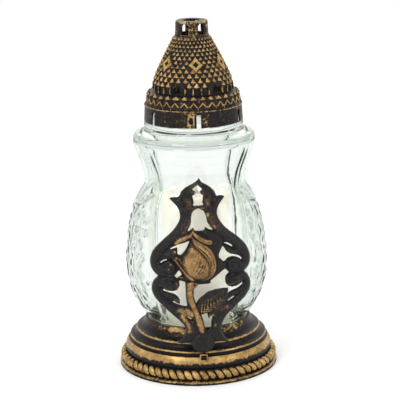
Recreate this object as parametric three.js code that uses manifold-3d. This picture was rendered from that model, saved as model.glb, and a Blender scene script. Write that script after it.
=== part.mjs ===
// Glass memorial lantern: moulded pedestal, pressed-glass jar, rose ornament,
// vented lift-off lid with a heat shield, and a drop-in fuel insert with its wick.
// Millimetres, +Z up, origin at the centre of the underside, ornament facing -Y.
import * as THREE from 'three';
import { TessellateModifier } from 'three/addons/modifiers/TessellateModifier.js';
import { mergeVertices } from 'three/addons/utils/BufferGeometryUtils.js';
import Module from 'manifold-3d';

// Driving dimensions
const baseRadius = 68.7;          // widest edge of the pedestal foot
const ropeRadius = 4.8;           // half-round of the rope border
const ropeCentre = { r: 63.5, z: 7.6 };
const collarTop = 42.9;           // rim of the pedestal round the jar
const collarBore = 43.9;
const shelfTop = 30.9;            // ledge that carries the jar
const gap = 0.3;                  // clearance between touching pieces
const jarHeel = 42.2;             // outer radius of the jar inside the collar
const glassWall = 3.2;
const neckRadius = 39.0;
const neckTop = 226.5;
const jarCuts = [64, 122];        // heights where the jar is held as separate solids
const beadTop = 215.2;            // glass bead that stops the lid
const lidTop = 300;
const lidTurn = 2;                // degrees the lid is turned from the ornament
const chimneyBore = 6.5;
const insertRadius = 29.4;
const insertFloor = 36.6;
const insertTop = 150;
const fillTop = 140;
const wickRadius = 1.8;
const plateThickness = 2.6;       // openwork plate of the ornament

const wasm = await Module();
wasm.setup();

// Solids and meshes
function toSolid(geometry) {
  const bare = geometry.clone();
  bare.deleteAttribute('normal');
  bare.deleteAttribute('uv');
  const merged = mergeVertices(bare.index ? bare.toNonIndexed() : bare, 1e-4);
  return new wasm.Manifold(new wasm.Mesh({
    numProp: 3,
    vertProperties: new Float32Array(merged.attributes.position.array),
    triVerts: new Uint32Array(merged.index.array),
  }));
}

function toGeometry(solid) {
  const mesh = solid.getMesh();
  const geometry = new THREE.BufferGeometry();
  geometry.setAttribute('position', new THREE.BufferAttribute(mesh.vertProperties, 3));
  geometry.setIndex(new THREE.BufferAttribute(mesh.triVerts, 1));
  geometry.computeVertexNormals();
  return geometry;
}

// A ring or a turned body from closed [radius, height] points.
// Points run up the outside first, so that the faces point outwards.
function turned(points, segments) {
  const profile = points.map(([r, z]) => new THREE.Vector2(r, z));
  const first = profile[0];
  const last = profile[profile.length - 1];
  if (first.x > 0 || last.x > 0) profile.push(first.clone());
  return new THREE.LatheGeometry(profile, segments).rotateX(Math.PI / 2);
}

function repeated(cutter, count, startAngle) {
  return Array.from({ length: count }, (_, i) => {
    const angle = THREE.MathUtils.degToRad(startAngle + (i * 360) / count);
    return toSolid(cutter.clone().rotateZ(angle));
  });
}

// An outline in (radius, height) extruded to a thickness and centred on the XZ plane, on -Y.
function radialPlate(points, thickness) {
  const shape = new THREE.Shape(points.map(([r, z]) => new THREE.Vector2(r, z)));
  return new THREE.ExtrudeGeometry(shape, { depth: thickness, bevelEnabled: false })
    .translate(0, 0, -thickness / 2)
    .rotateX(Math.PI / 2)
    .rotateZ(-Math.PI / 2);
}

function material(color, roughness, metalness = 0, opacity = 1) {
  return new THREE.MeshStandardMaterial({
    color, roughness, metalness, opacity, transparent: opacity < 1,
  });
}

const lantern = new THREE.Group();

function addPiece(name, geometry, look, parent = lantern) {
  const mesh = new THREE.Mesh(geometry, look);
  mesh.name = name;
  parent.add(mesh);
}

const bronzePlastic = () => material(0x4a3720, 0.45, 0.35);
const darkPlastic = () => material(0x24201f, 0.5, 0.1);
const goldPlastic = () => material(0x9a7440, 0.45, 0.45);
const glass = () => material(0xdfeee2, 0.05, 0, 0.35);
const milkyPlastic = () => material(0xf0eadb, 0.4);
const tinplate = () => material(0xb9bcc0, 0.35, 0.9);

// Pedestal: one hollow moulding with a rope border, stepped coves and a collar
function pedestal() {
  const ropeArc = Array.from({ length: 6 }, (_, i) => {
    const angle = THREE.MathUtils.degToRad(-56 + i * 26);
    return [ropeCentre.r + ropeRadius * Math.cos(angle), ropeCentre.z + ropeRadius * Math.sin(angle)];
  });
  const outside = [
    [baseRadius, 0], [baseRadius, 2.2],
    ...ropeArc,
    [63.4, 13.2], [63.4, 16.5], [62.3, 20.5], [60.6, 22.9],
    [59.3, 24.4], [59.6, 26.2], [58.2, 27.2],
    [55.6, 28.2], [53.8, 31.2], [53.3, 32.8],
    [49.2, 34.8], [46.4, 38], [45.5, collarTop],
  ];
  const inside = [
    [collarBore, collarTop], [collarBore, shelfTop], [28, shelfTop], [28, 28.6], [50.6, 28.6],
    [53, 26], [57.2, 23.6], [60.5, 18.5], [61.3, 13], [62, 3.5], [64.2, 0],
  ];
  const shell = toSolid(turned([...outside, ...inside], 36));
  const rib = radialPlate([[45, 29.2], [50, 29.2], [57.8, 22.5], [61, 17], [61.6, 5], [57, 5], [45, 24]], 1.8);
  const ribs = repeated(rib, 8, 22.5);
  const tangSlot = toSolid(new THREE.BoxGeometry(11, 9, 3.8).translate(0, -53.5, 31.5));
  return toGeometry(ribs.reduce((body, next) => body.add(next), shell).subtract(tangSlot));
}

// Jar: the waisted body is a curve; the inside is the same curve set in by the wall
function jar() {
  const side = new THREE.SplineCurve([
    [45, 45.8], [49.5, 52], [54.3, 61], [59, 73], [61.2, 90], [59.9, 111], [56.2, 132],
    [50.7, 149], [44.8, 158.8], [43.3, 164.5], [45, 176], [49, 187], [52.2, 196.5], [51.9, 202.8],
  ].map(([r, z]) => new THREE.Vector2(r, z)));
  const stations = Array.from({ length: 15 }, (_, i) => i / 14);
  const outer = stations.map((t) => side.getPoint(t).toArray());
  const inner = stations.slice(0, -1).reverse().map((t) => {
    const point = side.getPoint(t);
    const along = side.getTangent(t);
    return [point.x - glassWall * along.y, point.y + glassWall * along.x];
  });
  return turned([
    [0, 33.2], [30, 32.7], [36, 31.2], [40, 31.2], [jarHeel, 33.4], [jarHeel, 43.6],
    ...outer,
    [46, 206.8], [42.3, 208.8], [42.5, beadTop - 0.9], [41.4, beadTop], [neckRadius, beadTop],
    [neckRadius, neckTop], [neckRadius - glassWall, neckTop], [neckRadius - glassWall, 212],
    [38.5, 207], [44.5, 203.6],
    ...inner,
    [38.4, 40], [35, 36.2], [0, 36.2],
  ], 36);
}

// The jar is one piece of glass, held as three simple solids that together are its shape
function jarBetween(low, high) {
  const slab = new THREE.BoxGeometry(150, 150, high - low - gap).translate(0, 0, (low + high) / 2);
  return toGeometry(toSolid(jar()).intersect(toSolid(slab)));
}

// Lid: skirt over the neck, studded dome and vented chimney in one moulding
function lid() {
  const outside = [
    [42, beadTop + gap], [41.6, 223], [41.1, 225.5], [40.3, 230.5], [39.4, 237], [38.6, 238.8],
    [36.1, 241.5], [34.8, 244.5], [33.4, 250], [31.2, 256], [28.7, 261.3], [25.3, 268.6], [21.6, 276.2],
    [18.1, 281.7], [15, 286.8], [14.1, 288.4], [13.8, 292], [13.4, 299.2], [12.6, lidTop],
  ];
  const inside = [
    [chimneyBore, lidTop], [chimneyBore, 298], [10.8, 297.6], [11.2, 290], [12.2, 286.4],
    [18.8, 276.3], [22.6, 268.6], [26.2, 261.3], [28.9, 255], [31.2, 249], [32.6, 243.5],
    [36.9, 236.5], [38.4, 229.5], [neckRadius + 0.5, 227.4], [neckRadius + 0.5, beadTop + gap],
  ];
  const shell = toSolid(turned([...outside, ...inside], 36));
  const slot = new THREE.BoxGeometry(3.2, 8, 14).translate(0, -41, 219.4);
  const chimneyWindow = new THREE.BoxGeometry(5.8, 6, 9.4).translate(0, -12.5, 293.4);
  const ventShape = new THREE.Shape([[-3.4, 0], [3.4, 0], [3.4, 4.6], [0, 7.6], [-3.4, 4.6]]
    .map(([x, z]) => new THREE.Vector2(x, z)));
  const vent = new THREE.ExtrudeGeometry(ventShape, { depth: 12, bevelEnabled: false })
    .rotateX(Math.PI / 2).translate(0, -28, 242.6);
  const cutters = [
    ...repeated(slot, 6, 0), ...repeated(chimneyWindow, 6, 30), ...repeated(vent, 6, 30),
  ];
  return toGeometry(cutters.reduce((body, cutter) => body.subtract(cutter), shell));
}

// Heat shield: a pressed tin dish under the chimney, with a throat and six flue holes
function heatShield() {
  const dish = toSolid(turned([
    [25.2, 262.4], [25, 263.2], [12, 266.2], [6, 268.6], [5.4, 268], [11.8, 265.3], [24.6, 262.3],
  ], 32));
  const flue = new THREE.CylinderGeometry(2.6, 2.6, 12, 12).rotateX(Math.PI / 2).translate(0, -17, 265);
  return toGeometry(repeated(flue, 6, 0).reduce((body, hole) => body.subtract(hole), dish));
}

// Ornament: drawn flat as (x, height, thickness), then laid round the jar
function ornamentBack(z) {
  const above = THREE.MathUtils.smoothstep(z, 105, 176);
  const below = 1 - THREE.MathUtils.smoothstep(z, 45, 95);
  return 62 - 11.2 * above - 2 * below;
}

function laidRoundJar(flat, standOff) {
  const bend = 80;
  const geometry = new TessellateModifier(13, 8).modify(flat);
  const place = geometry.attributes.position;
  for (let i = 0; i < place.count; i += 1) {
    const [x, z, depth] = [place.getX(i), place.getY(i), place.getZ(i)];
    const sag = bend - Math.sqrt(bend * bend - x * x);
    place.setXYZ(i, x, sag - ornamentBack(z) - standOff - depth, z);
  }
  return geometry;
}

function curved(points, perSpan = 3) {
  const curve = new THREE.SplineCurve(points.map(([x, z]) => new THREE.Vector2(x, z)));
  return curve.getPoints((points.length - 1) * perSpan).map((p) => p.toArray());
}

function mirrored(half) {
  const other = half.filter(([x]) => x > 0.01).map(([x, z]) => [-x, z]).reverse();
  return [...half, ...other];
}

function ornamentFrame() {
  const foot = Array.from({ length: 7 }, (_, i) => {
    const angle = (i / 6) * (Math.PI / 2);
    return [9.8 * Math.cos(angle), 34 - 7.2 * Math.sin(angle)];
  });
  foot[6][0] = 0;
  const outline = mirrored([
    ...curved([[0, 175.5], [4.5, 171.6], [10, 169], [14.5, 165.5], [16.8, 160.2]]),
    ...curved([[22.5, 159.6], [18.5, 155.5], [16.2, 150.5], [15.4, 145.5], [16.6, 139.5], [20.5, 134.5],
      [33.5, 122.5], [39.4, 115], [42, 106.5], [40.4, 99.6], [36.4, 95]], 2),
    ...curved([[40.2, 90.5], [41.6, 85], [40.4, 77.5], [36, 71], [22, 58], [17.2, 53], [15.5, 48.5],
      [17, 42.5], [22.2, 35.9]], 2),
    [16, 34.5],
    ...foot,
  ]);
  const holes = [
    mirrored([[0, 170.5], [4.4, 167], [1.9, 164.6], [2.2, 162], [4.3, 160.4], [3.4, 158], [4.6, 153.4]]),
    mirrored([[0, 150.8], [4.2, 149], [6.1, 144.5], [6.9, 139], [9.3, 134.6], [5.4, 135.6], [3.4, 133],
      [0, 134.2]]),
    [[-20, 121], [-9.8, 125.5], [-10.5, 121.3], [-16.5, 113.8], [-20.2, 113.6]],
    [[18, 120.2], [20.3, 115.3], [27, 112.4], [33.9, 104.7], [27.6, 109.2], [18.8, 106.5], [14.2, 109.2]],
    [[-19.2, 99.9], [-16.8, 96.5], [-21, 92.9], [-22.6, 94.6]],
    [[-19, 91.2], [-14.3, 90.9], [-14.4, 76.4], [-12.9, 68.3], [-20, 70.2], [-18.2, 74], [-19.5, 80],
      [-23, 84.8]],
    [[-3.4, 87.7], [7.1, 92.4], [12.5, 95.6], [19.1, 100], [22.9, 96.1], [21.4, 88], [18.9, 83],
      [7, 81.9], [0.5, 78.6], [-6.6, 72.8], [-5.8, 81]],
    [[-1.7, 61.7], [4.6, 61.4], [9.2, 59.7], [7.4, 54], [6.6, 48.5], [2.3, 47.9], [0.7, 56.2]],
  ];
  const shape = new THREE.Shape(outline.reverse().map(([x, z]) => new THREE.Vector2(x, z)));
  shape.holes = holes.map((hole) => new THREE.Path(hole.map(([x, z]) => new THREE.Vector2(x, z))));
  const plate = laidRoundJar(
    new THREE.ExtrudeGeometry(shape, { depth: plateThickness, bevelEnabled: false }), 0);
  const tang = toSolid(new THREE.BoxGeometry(10, 10, 3).translate(0, -56.2, 31.5));
  return toGeometry(toSolid(plate).add(tang));
}

function raisedForm(points, depth, bevel) {
  const shape = new THREE.Shape(points.map(([x, z]) => new THREE.Vector2(x, z)));
  const options = {
    depth, bevelThickness: bevel, bevelSize: bevel, bevelOffset: -bevel, bevelSegments: 2, curveSegments: 6,
  };
  return laidRoundJar(new THREE.ExtrudeGeometry(shape, options), plateThickness + gap + bevel);
}

function roseBud() {
  return raisedForm(curved([[-3.6, 129.4], [7.6, 122.6], [12.2, 110.8], [7.4, 97.4], [-4.6, 92.2],
    [-15, 98.6], [-17.6, 111.6], [-12.4, 122.8], [-3.6, 129.4]], 2).slice(0, -1), 0.9, 1.4);
}

function roseLeaf() {
  return raisedForm([[-1.8, 64.8], [-0.8, 71], [5, 77.4], [12.4, 81.4], [19.4, 83], [20.6, 75.6], [16, 69.8],
    [10.8, 66.4], [3.8, 63.6]], 0.4, 0.6);
}

function roseStem() {
  return raisedForm(curved([[-8.4, 91.8], [-10.2, 82.6], [-9.4, 75.8], [-5.6, 68.6], [-3, 63.5], [-1.6, 57.4],
    [1.8, 48.2], [-3, 47.4], [-6.6, 58.8], [-10.6, 66.8], [-13.6, 75.4], [-14.4, 82.8], [-12.6, 91.4]], 1),
  0.6, 0.8);
}

// Fuel insert: plastic cup, solid fuel, punched plastic cap, wick with its tin collar and foot
function insertCup() {
  const wall = 1.2;
  return turned([
    [0, insertFloor], [insertRadius - 2, insertFloor], [insertRadius - 1.2, insertFloor + 1.2],
    [insertRadius, insertTop], [insertRadius - wall, insertTop],
    [insertRadius - 1.2 - wall, insertFloor + 2.6], [insertRadius - 3.4, insertFloor + wall],
    [0, insertFloor + wall],
  ], 32);
}

const footTop = insertFloor + 2.2;

function fuelFill() {
  const radius = insertRadius - 1.2 - gap;
  return turned([
    [3.1, footTop + gap], [radius - 2.2, footTop + gap], [radius - 1.1, footTop + 1.4],
    [radius - 0.15, fillTop], [radius - 2, fillTop - 0.8], [wickRadius + gap, fillTop - 0.8],
    [wickRadius + gap, footTop + 6], [3.1, footTop + 6],
  ], 32);
}

function insertCap() {
  const rim = insertRadius + gap;
  const cap = toSolid(turned([
    [rim + 0.7, insertTop - 5], [rim + 0.7, insertTop + 1], [rim, insertTop + 1.7],
    [24, insertTop + 1.7], [23, insertTop + 0.8], [3.9, insertTop + 0.8], [3.9, insertTop],
    [23.4, insertTop], [24.4, insertTop + gap], [rim, insertTop + gap], [rim, insertTop - 5],
  ], 32));
  const airHole = new THREE.CylinderGeometry(2, 2, 6, 12).rotateX(Math.PI / 2)
    .translate(0, -14, insertTop);
  return toGeometry(repeated(airHole, 6, 0).reduce((body, hole) => body.subtract(hole), cap));
}

function wickCollar() {
  return turned([
    [3.5, insertTop - 8], [3.5, insertTop + 1.1], [6.5, insertTop + 1.1], [6.5, insertTop + 1.8],
    [3, insertTop + 1.8], [2.7, insertTop + 4], [wickRadius + gap, insertTop + 4],
    [wickRadius + gap, insertTop - 8],
  ], 16);
}

function wickFoot() {
  const low = insertFloor + 1.5;
  return turned([
    [9, low], [9, footTop], [2.8, footTop], [2.8, footTop + 5.4], [wickRadius + gap, footTop + 5.4],
    [wickRadius + gap, low],
  ], 16);
}

function wick() {
  return new THREE.CylinderGeometry(wickRadius, wickRadius, 122, 10)
    .rotateX(Math.PI / 2).translate(0, 0, insertFloor + 1.6 + 61);
}

// Hot-melt bead that bonds the jar's heel into the collar
function glueBead() {
  return turned([
    [jarHeel + gap, 34.2], [collarBore - gap, 34.2], [collarBore - gap, 41.6], [jarHeel + gap, 42.4],
  ], 36);
}

addPiece('base_shell', pedestal(), bronzePlastic());
addPiece('jar_glue_bead', glueBead(), material(0xe8e0c8, 0.6));
addPiece('glass_jar_heel', jarBetween(0, jarCuts[0]), glass());
addPiece('glass_jar_belly', jarBetween(...jarCuts), glass());
addPiece('glass_jar_neck', jarBetween(jarCuts[1], lidTop), glass());

addPiece('ornament_frame', ornamentFrame(), darkPlastic());
addPiece('ornament_rose', roseBud(), goldPlastic());
addPiece('ornament_stem', roseStem(), goldPlastic());
addPiece('ornament_leaf', roseLeaf(), darkPlastic());

const lidGroup = new THREE.Group();
lidGroup.rotation.z = THREE.MathUtils.degToRad(lidTurn);
addPiece('lid_shell', lid(), bronzePlastic(), lidGroup);
addPiece('lid_heat_shield', heatShield(), tinplate(), lidGroup);
lantern.add(lidGroup);

addPiece('insert_cup', insertCup(), milkyPlastic());
addPiece('insert_fuel', fuelFill(), material(0xe9ddc0, 0.5));
addPiece('insert_cap', insertCap(), milkyPlastic());
addPiece('wick_collar', wickCollar(), tinplate());
addPiece('wick', wick(), material(0xe6dfcf, 0.95));
addPiece('wick_foot', wickFoot(), tinplate());

export default lantern;
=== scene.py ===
import math

import bmesh
import bpy
import numpy as np
from mathutils import Euler, Matrix, Vector


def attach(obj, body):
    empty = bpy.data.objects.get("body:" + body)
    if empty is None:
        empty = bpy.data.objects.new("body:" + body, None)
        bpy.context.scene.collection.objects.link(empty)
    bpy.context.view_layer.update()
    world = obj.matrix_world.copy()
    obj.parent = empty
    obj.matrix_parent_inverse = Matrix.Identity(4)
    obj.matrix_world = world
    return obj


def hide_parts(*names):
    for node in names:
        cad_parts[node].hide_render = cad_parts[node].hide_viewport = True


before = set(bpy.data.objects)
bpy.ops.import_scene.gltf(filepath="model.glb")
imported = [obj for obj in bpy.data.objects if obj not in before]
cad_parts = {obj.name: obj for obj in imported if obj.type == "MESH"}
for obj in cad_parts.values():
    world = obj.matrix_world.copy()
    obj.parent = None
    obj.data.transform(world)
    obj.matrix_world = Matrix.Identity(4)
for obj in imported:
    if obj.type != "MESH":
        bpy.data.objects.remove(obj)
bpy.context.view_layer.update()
scene = bpy.context.scene
MM = 0.001

# ---------------------------------------------------------------------------
# Camera: a long lens a little above the lantern, turned four degrees from the
# ornament's face, held with a slight tilt.
# ---------------------------------------------------------------------------
camera_data = bpy.data.cameras.new("camera")
camera_data.lens = 147.0
camera_data.sensor_width = 36.0
camera_data.clip_end = 20.0
camera = bpy.data.objects.new("camera", camera_data)
scene.collection.objects.link(camera)
camera_turn = math.radians(4.17)
camera_pitch = math.radians(14.41)
camera_tilt = math.radians(-1.19)
camera.matrix_world = (
    Matrix.Translation((-0.0950, -1.3587, 0.4940))
    @ Matrix.Rotation(-camera_turn, 4, "Z")
    @ Matrix.Rotation(math.pi / 2 - camera_pitch, 4, "X")
    @ Matrix.Rotation(camera_tilt, 4, "Z")
)
scene.camera = camera

# ---------------------------------------------------------------------------
# Pedestal: one hollow moulding in black-brown plastic, whose ridges and rope
# border are rubbed with gold. It is open below, with a ledge for the jar.
# ---------------------------------------------------------------------------


def filleted(corners, steps=4):
    """Rounds an outline's (radius, height) corners; a third value is the corner's own fillet."""
    points = []
    for i, corner in enumerate(corners):
        here = Vector(corner[:2])
        size = corner[2] if len(corner) > 2 else 0.35
        before = Vector(corners[i - 1][:2])
        after = Vector(corners[(i + 1) % len(corners)][:2])
        cut = min(size, (before - here).length * 0.45, (after - here).length * 0.45)
        if size == 0 or cut < 0.02:
            points.append(tuple(here))
            continue
        start = here + (before - here).normalized() * cut
        end = here + (after - here).normalized() * cut
        for k in range(steps + 1):
            t = k / steps
            points.append(tuple(start * (1 - t) ** 2 + here * 2 * t * (1 - t) + end * t * t))
    return points


def baked(piece):
    """A plain mesh of a piece, with what its modifiers do to it."""
    return bpy.data.meshes.new_from_object(piece.evaluated_get(bpy.context.evaluated_depsgraph_get()))


def circle(radius, step, end=360, up=0.0):
    """Points on a circle about the origin or above it, from zero to the end angle in degrees."""
    return [(radius * math.cos(math.radians(a)), up + radius * math.sin(math.radians(a)))
            for a in range(0, end, step)]


def linked(name, mesh, sharp=35):
    """A smooth-shaded object at the origin, with creases sharper than the given angle kept."""
    mesh.shade_smooth()
    mesh.set_sharp_from_angle(angle=math.radians(sharp))
    piece = bpy.data.objects.new(name, mesh)
    scene.collection.objects.link(piece)
    return piece


def turned(name, outline, steps=192, sharp=35):
    """Turns an outline in millimetres about Z. It runs up the outside, and closes on itself or the axis."""
    mesh = bpy.data.meshes.new(name)
    rows, points, faces = [], [], []
    for r, z in outline:
        if r < 1e-6:
            rows.append([len(points)] * steps)
            points.append((0, 0, z * MM))
            continue
        rows.append(list(range(len(points), len(points) + steps)))
        for k in range(steps):
            angle = 2 * math.pi * k / steps
            points.append((r * MM * math.cos(angle), r * MM * math.sin(angle), z * MM))
    closed = outline[0][0] > 1e-6
    pairs = list(zip(rows, rows[1:])) + ([(rows[-1], rows[0])] if closed else [])
    for low, high in pairs:
        for k in range(steps):
            corners = (low[k], low[(k + 1) % steps], high[(k + 1) % steps], high[k])
            kept = [c for j, c in enumerate(corners) if c != corners[j - 1]]
            if len(kept) > 2:
                faces.append(kept)
    mesh.from_pydata(points, [], faces)
    return linked(name, mesh, sharp)


def wear(piece, rule):
    """Sets how rubbed each point is, by a rule of its radius, height and angle from the front."""
    mesh = piece.data
    place = np.empty(len(mesh.vertices) * 3)
    mesh.vertices.foreach_get("co", place)
    x, y, z = place.reshape(-1, 3).T / MM
    rub = rule(np.hypot(x, y), z, np.degrees(np.arctan2(x, -y)))
    if "rub" not in mesh.attributes:
        mesh.attributes.new("rub", "FLOAT", "POINT")
    mesh.attributes["rub"].data.foreach_set("value", np.clip(rub, 0, 1).astype(np.float32))


def near(value, level, spread):
    """One at a level, falling to nothing at the spread on both sides."""
    return np.clip(1 - np.abs(value - level) / spread, 0, 1)


def socket(group, name, way, kind, default=None):
    """Adds an input or an output to a node group."""
    made = group.interface.new_socket(name, in_out=way, socket_type=kind)
    if default is not None:
        made.default_value = default
    return made


def feed(tree, node, inputs):
    """Gives each named input of a node its value, or another node's output to follow."""
    for name, value in inputs.items():
        if isinstance(value, bpy.types.NodeSocket):
            tree.links.new(value, node.inputs[name])
        else:
            node.inputs[name].default_value = value


def add(tree, kind, inputs=None, **settings):
    """Adds a node with its settings and its inputs."""
    made = tree.nodes.new(kind)
    for name, value in settings.items():
        setattr(made, name, value)
    feed(tree, made, inputs or {})
    return made


def maths(tree, operation, *values):
    """The result of a sum on values or on other nodes' outputs."""
    return add(tree, "ShaderNodeMath", dict(enumerate(values)), operation=operation).outputs[0]


def remapped(tree, value, low, high, to_low=0.0, to_high=1.0, **settings):
    """A value moved from one range to another and held inside it."""
    return add(tree, "ShaderNodeMapRange", {"Value": value, "From Min": low, "From Max": high,
                                            "To Min": to_low, "To Max": to_high}, **settings).outputs[0]


def noise(tree, scale, detail, **more):
    """A cloudy value, fixed to the piece's own space unless it is given another."""
    if "Vector" not in more:
        more["Vector"] = add(tree, "ShaderNodeTexCoord").outputs["Object"]
    return add(tree, "ShaderNodeTexNoise", {"Scale": scale, "Detail": detail, **more}).outputs["Fac"]


def blended(tree, share, first, second):
    """A colour that goes from the first to the second as the share grows."""
    made = add(tree, "ShaderNodeMix", {"Factor": share, "A": first, "B": second}, data_type="RGBA")
    return made.outputs["Result"]


def toned(tree, value, first, second, start=0.0, end=1.0):
    """A colour that goes from the first to the second between two values."""
    ramp = add(tree, "ShaderNodeValToRGB", {"Fac": value})
    for stop, place, colour in zip(ramp.color_ramp.elements, (start, end), (first, second)):
        stop.position = place
        stop.color = colour
    return ramp.outputs["Color"]


def bumped(tree, height, strength, distance=0.0004):
    """Surface normals with the fine relief of a height."""
    made = add(tree, "ShaderNodeBump", {"Strength": strength, "Distance": distance, "Height": height})
    return made.outputs["Normal"]


def build_rub_group():
    """Turns a wear attribute into a broken, brushed mask of gold, with its colours and its relief."""
    tree = bpy.data.node_groups.new("rubbed_gold", "ShaderNodeTree")
    for name, value in (("Rub", 0.0), ("Scale", 300.0), ("Breakup", 0.6), ("Threshold", 0.45),
                        ("Smudge", 0.4)):
        socket(tree, name, "INPUT", "NodeSocketFloat", value)
    for name, value in (("Dark", (0.012, 0.011, 0.012, 1)), ("Brown", (0.075, 0.042, 0.02, 1)),
                        ("Gold", (0.46, 0.27, 0.095, 1))):
        socket(tree, name, "INPUT", "NodeSocketColor", value)
    socket(tree, "Color", "OUTPUT", "NodeSocketColor")
    for name in ("Mask", "Roughness", "Height"):
        socket(tree, name, "OUTPUT", "NodeSocketFloat")
    given = add(tree, "NodeGroupInput").outputs
    coarse = noise(tree, given["Scale"], 6, Roughness=0.68)
    spread = maths(tree, "MULTIPLY", maths(tree, "SUBTRACT", coarse, 0.5), given["Breakup"])
    edge = maths(tree, "SUBTRACT", maths(tree, "ADD", given["Rub"], spread), given["Threshold"])
    mask = remapped(tree, edge, -0.07, 0.11, interpolation_type="SMOOTHSTEP")
    halo = remapped(tree, edge, -0.42, 0.06, 0.0, given["Smudge"], interpolation_type="SMOOTHSTEP")
    smudged = blended(tree, halo, given["Dark"], given["Brown"])
    tone = remapped(tree, noise(tree, 130, 5, Roughness=0.6), 0.34, 0.66, 0.50, 1.20)
    speckle = remapped(tree, noise(tree, 1100, 2), 0.34, 0.50, 0.42, 1.0)
    depth = maths(tree, "MULTIPLY", tone, speckle)
    shade = add(tree, "ShaderNodeVectorMath", {0: given["Gold"], "Scale": depth}, operation="SCALE")
    add(tree, "NodeGroupOutput", {
        "Color": blended(tree, mask, smudged, shade.outputs[0]), "Mask": mask,
        "Roughness": remapped(tree, coarse, 0.25, 0.75, 0.30, 0.52),
        "Height": maths(tree, "MULTIPLY_ADD", noise(tree, 1500, 3), 0.35, mask)})
    return tree


rub_group = build_rub_group()


def new_material(name):
    """A material, its node tree and the shader in it."""
    made = bpy.data.materials.new(name)
    made.use_nodes = True
    return made, made.node_tree, made.node_tree.nodes["Principled BSDF"]


def rubbed_plastic(name, scale=380.0, breakup=1.8, threshold=0.45, smudge=0.35, bump=0.3, shine=0.13,
                   dark=(0.006, 0.0055, 0.0062, 1), gold=(0.50, 0.315, 0.115, 1)):
    """Dark moulded plastic with gold rubbed on where the piece's wear attribute is high."""
    made, tree, shader = new_material(name)
    worn = add(tree, "ShaderNodeAttribute", attribute_name="rub")
    rubbed = add(tree, "ShaderNodeGroup", {
        "Rub": worn.outputs["Fac"], "Scale": scale, "Breakup": breakup, "Threshold": threshold,
        "Smudge": smudge, "Dark": dark, "Gold": gold}, node_tree=rub_group).outputs
    feed(tree, shader, {
        "Base Color": rubbed["Color"], "Roughness": rubbed["Roughness"], "Specular IOR Level": shine,
        "Metallic": maths(tree, "MULTIPLY", rubbed["Mask"], 0.55),
        "Normal": bumped(tree, rubbed["Height"], bump)})
    return made


bronze = rubbed_plastic("bronzed_plastic")


def joined(name, pieces):
    """Makes one object of several, keeping their attributes."""
    first = pieces[0]
    with bpy.context.temp_override(active_object=first, object=first, selected_objects=pieces,
                                   selected_editable_objects=pieces):
        bpy.ops.object.join()
    first.name = name
    first.data.name = name
    return first


def build_spread_tree():
    """Sets one piece at every point of a mesh, turned and sized by the points' own attributes."""
    tree = bpy.data.node_groups.new("set_round", "GeometryNodeTree")
    for name in ("Geometry", "Object", "Material"):
        socket(tree, name, "INPUT", "NodeSocket" + name)
    socket(tree, "Geometry", "OUTPUT", "NodeSocketGeometry")
    given = add(tree, "NodeGroupInput").outputs
    turn, size = (add(tree, "GeometryNodeInputNamedAttribute", {"Name": name}, data_type="FLOAT_VECTOR")
                  for name in ("turn", "size"))
    source = add(tree, "GeometryNodeObjectInfo", {"Object": given["Object"]})
    rotation = add(tree, "FunctionNodeEulerToRotation", {0: turn.outputs["Attribute"]})
    place = add(tree, "GeometryNodeInstanceOnPoints", {
        "Points": given["Geometry"], "Instance": source.outputs["Geometry"],
        "Rotation": rotation.outputs[0], "Scale": size.outputs["Attribute"]})
    real = add(tree, "GeometryNodeRealizeInstances", {"Geometry": place.outputs["Instances"]})
    finish = add(tree, "GeometryNodeSetMaterial", {"Geometry": real.outputs["Geometry"],
                                                   "Material": given["Material"]})
    add(tree, "NodeGroupOutput", {"Geometry": finish.outputs["Geometry"]})
    return tree


spread_tree = build_spread_tree()


def set_round(name, piece, places, finish, sharp=35):
    """Copies of a piece at each (radius, angle, height, lean, width, tallness, depth), as one plain mesh.
    The piece is drawn facing -Y at the origin, in millimetres; angle zero is the lantern's front."""
    mesh = bpy.data.meshes.new(name + "_points")
    points, turns, sizes = [], [], []
    for r, angle, z, lean, wide, tall, deep in places:
        points.append((r * MM * math.sin(angle), -r * MM * math.cos(angle), z * MM))
        turns += list(Euler((lean, 0, angle)))
        sizes += [wide, deep, tall]
    mesh.from_pydata(points, [], [])
    mesh.attributes.new("turn", "FLOAT_VECTOR", "POINT").data.foreach_set("vector", turns)
    mesh.attributes.new("size", "FLOAT_VECTOR", "POINT").data.foreach_set("vector", sizes)
    holder = bpy.data.objects.new(name + "_points", mesh)
    scene.collection.objects.link(holder)
    modifier = holder.modifiers.new("set_round", "NODES")
    modifier.node_group = spread_tree
    named = {item.name: item.identifier for item in spread_tree.interface.items_tree
             if item.in_out == "INPUT"}
    modifier[named["Object"]] = piece
    modifier[named["Material"]] = finish
    plain = baked(holder)
    bpy.data.objects.remove(holder)
    bpy.data.objects.remove(piece)
    return linked(name, plain, sharp)


def form(name, points, faces, rub):
    """A small closed piece, drawn in millimetres, with its wear given at each point."""
    mesh = bpy.data.meshes.new(name)
    mesh.from_pydata([tuple(c * MM for c in p) for p in points], [], faces)
    mesh.attributes.new("rub", "FLOAT", "POINT").data.foreach_set("value", rub)
    shape = bmesh.new()
    shape.from_mesh(mesh)
    bmesh.ops.recalc_face_normals(shape, faces=shape.faces)
    shape.to_mesh(mesh)
    shape.free()
    piece = bpy.data.objects.new(name, mesh)
    scene.collection.objects.link(piece)
    return piece


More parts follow.
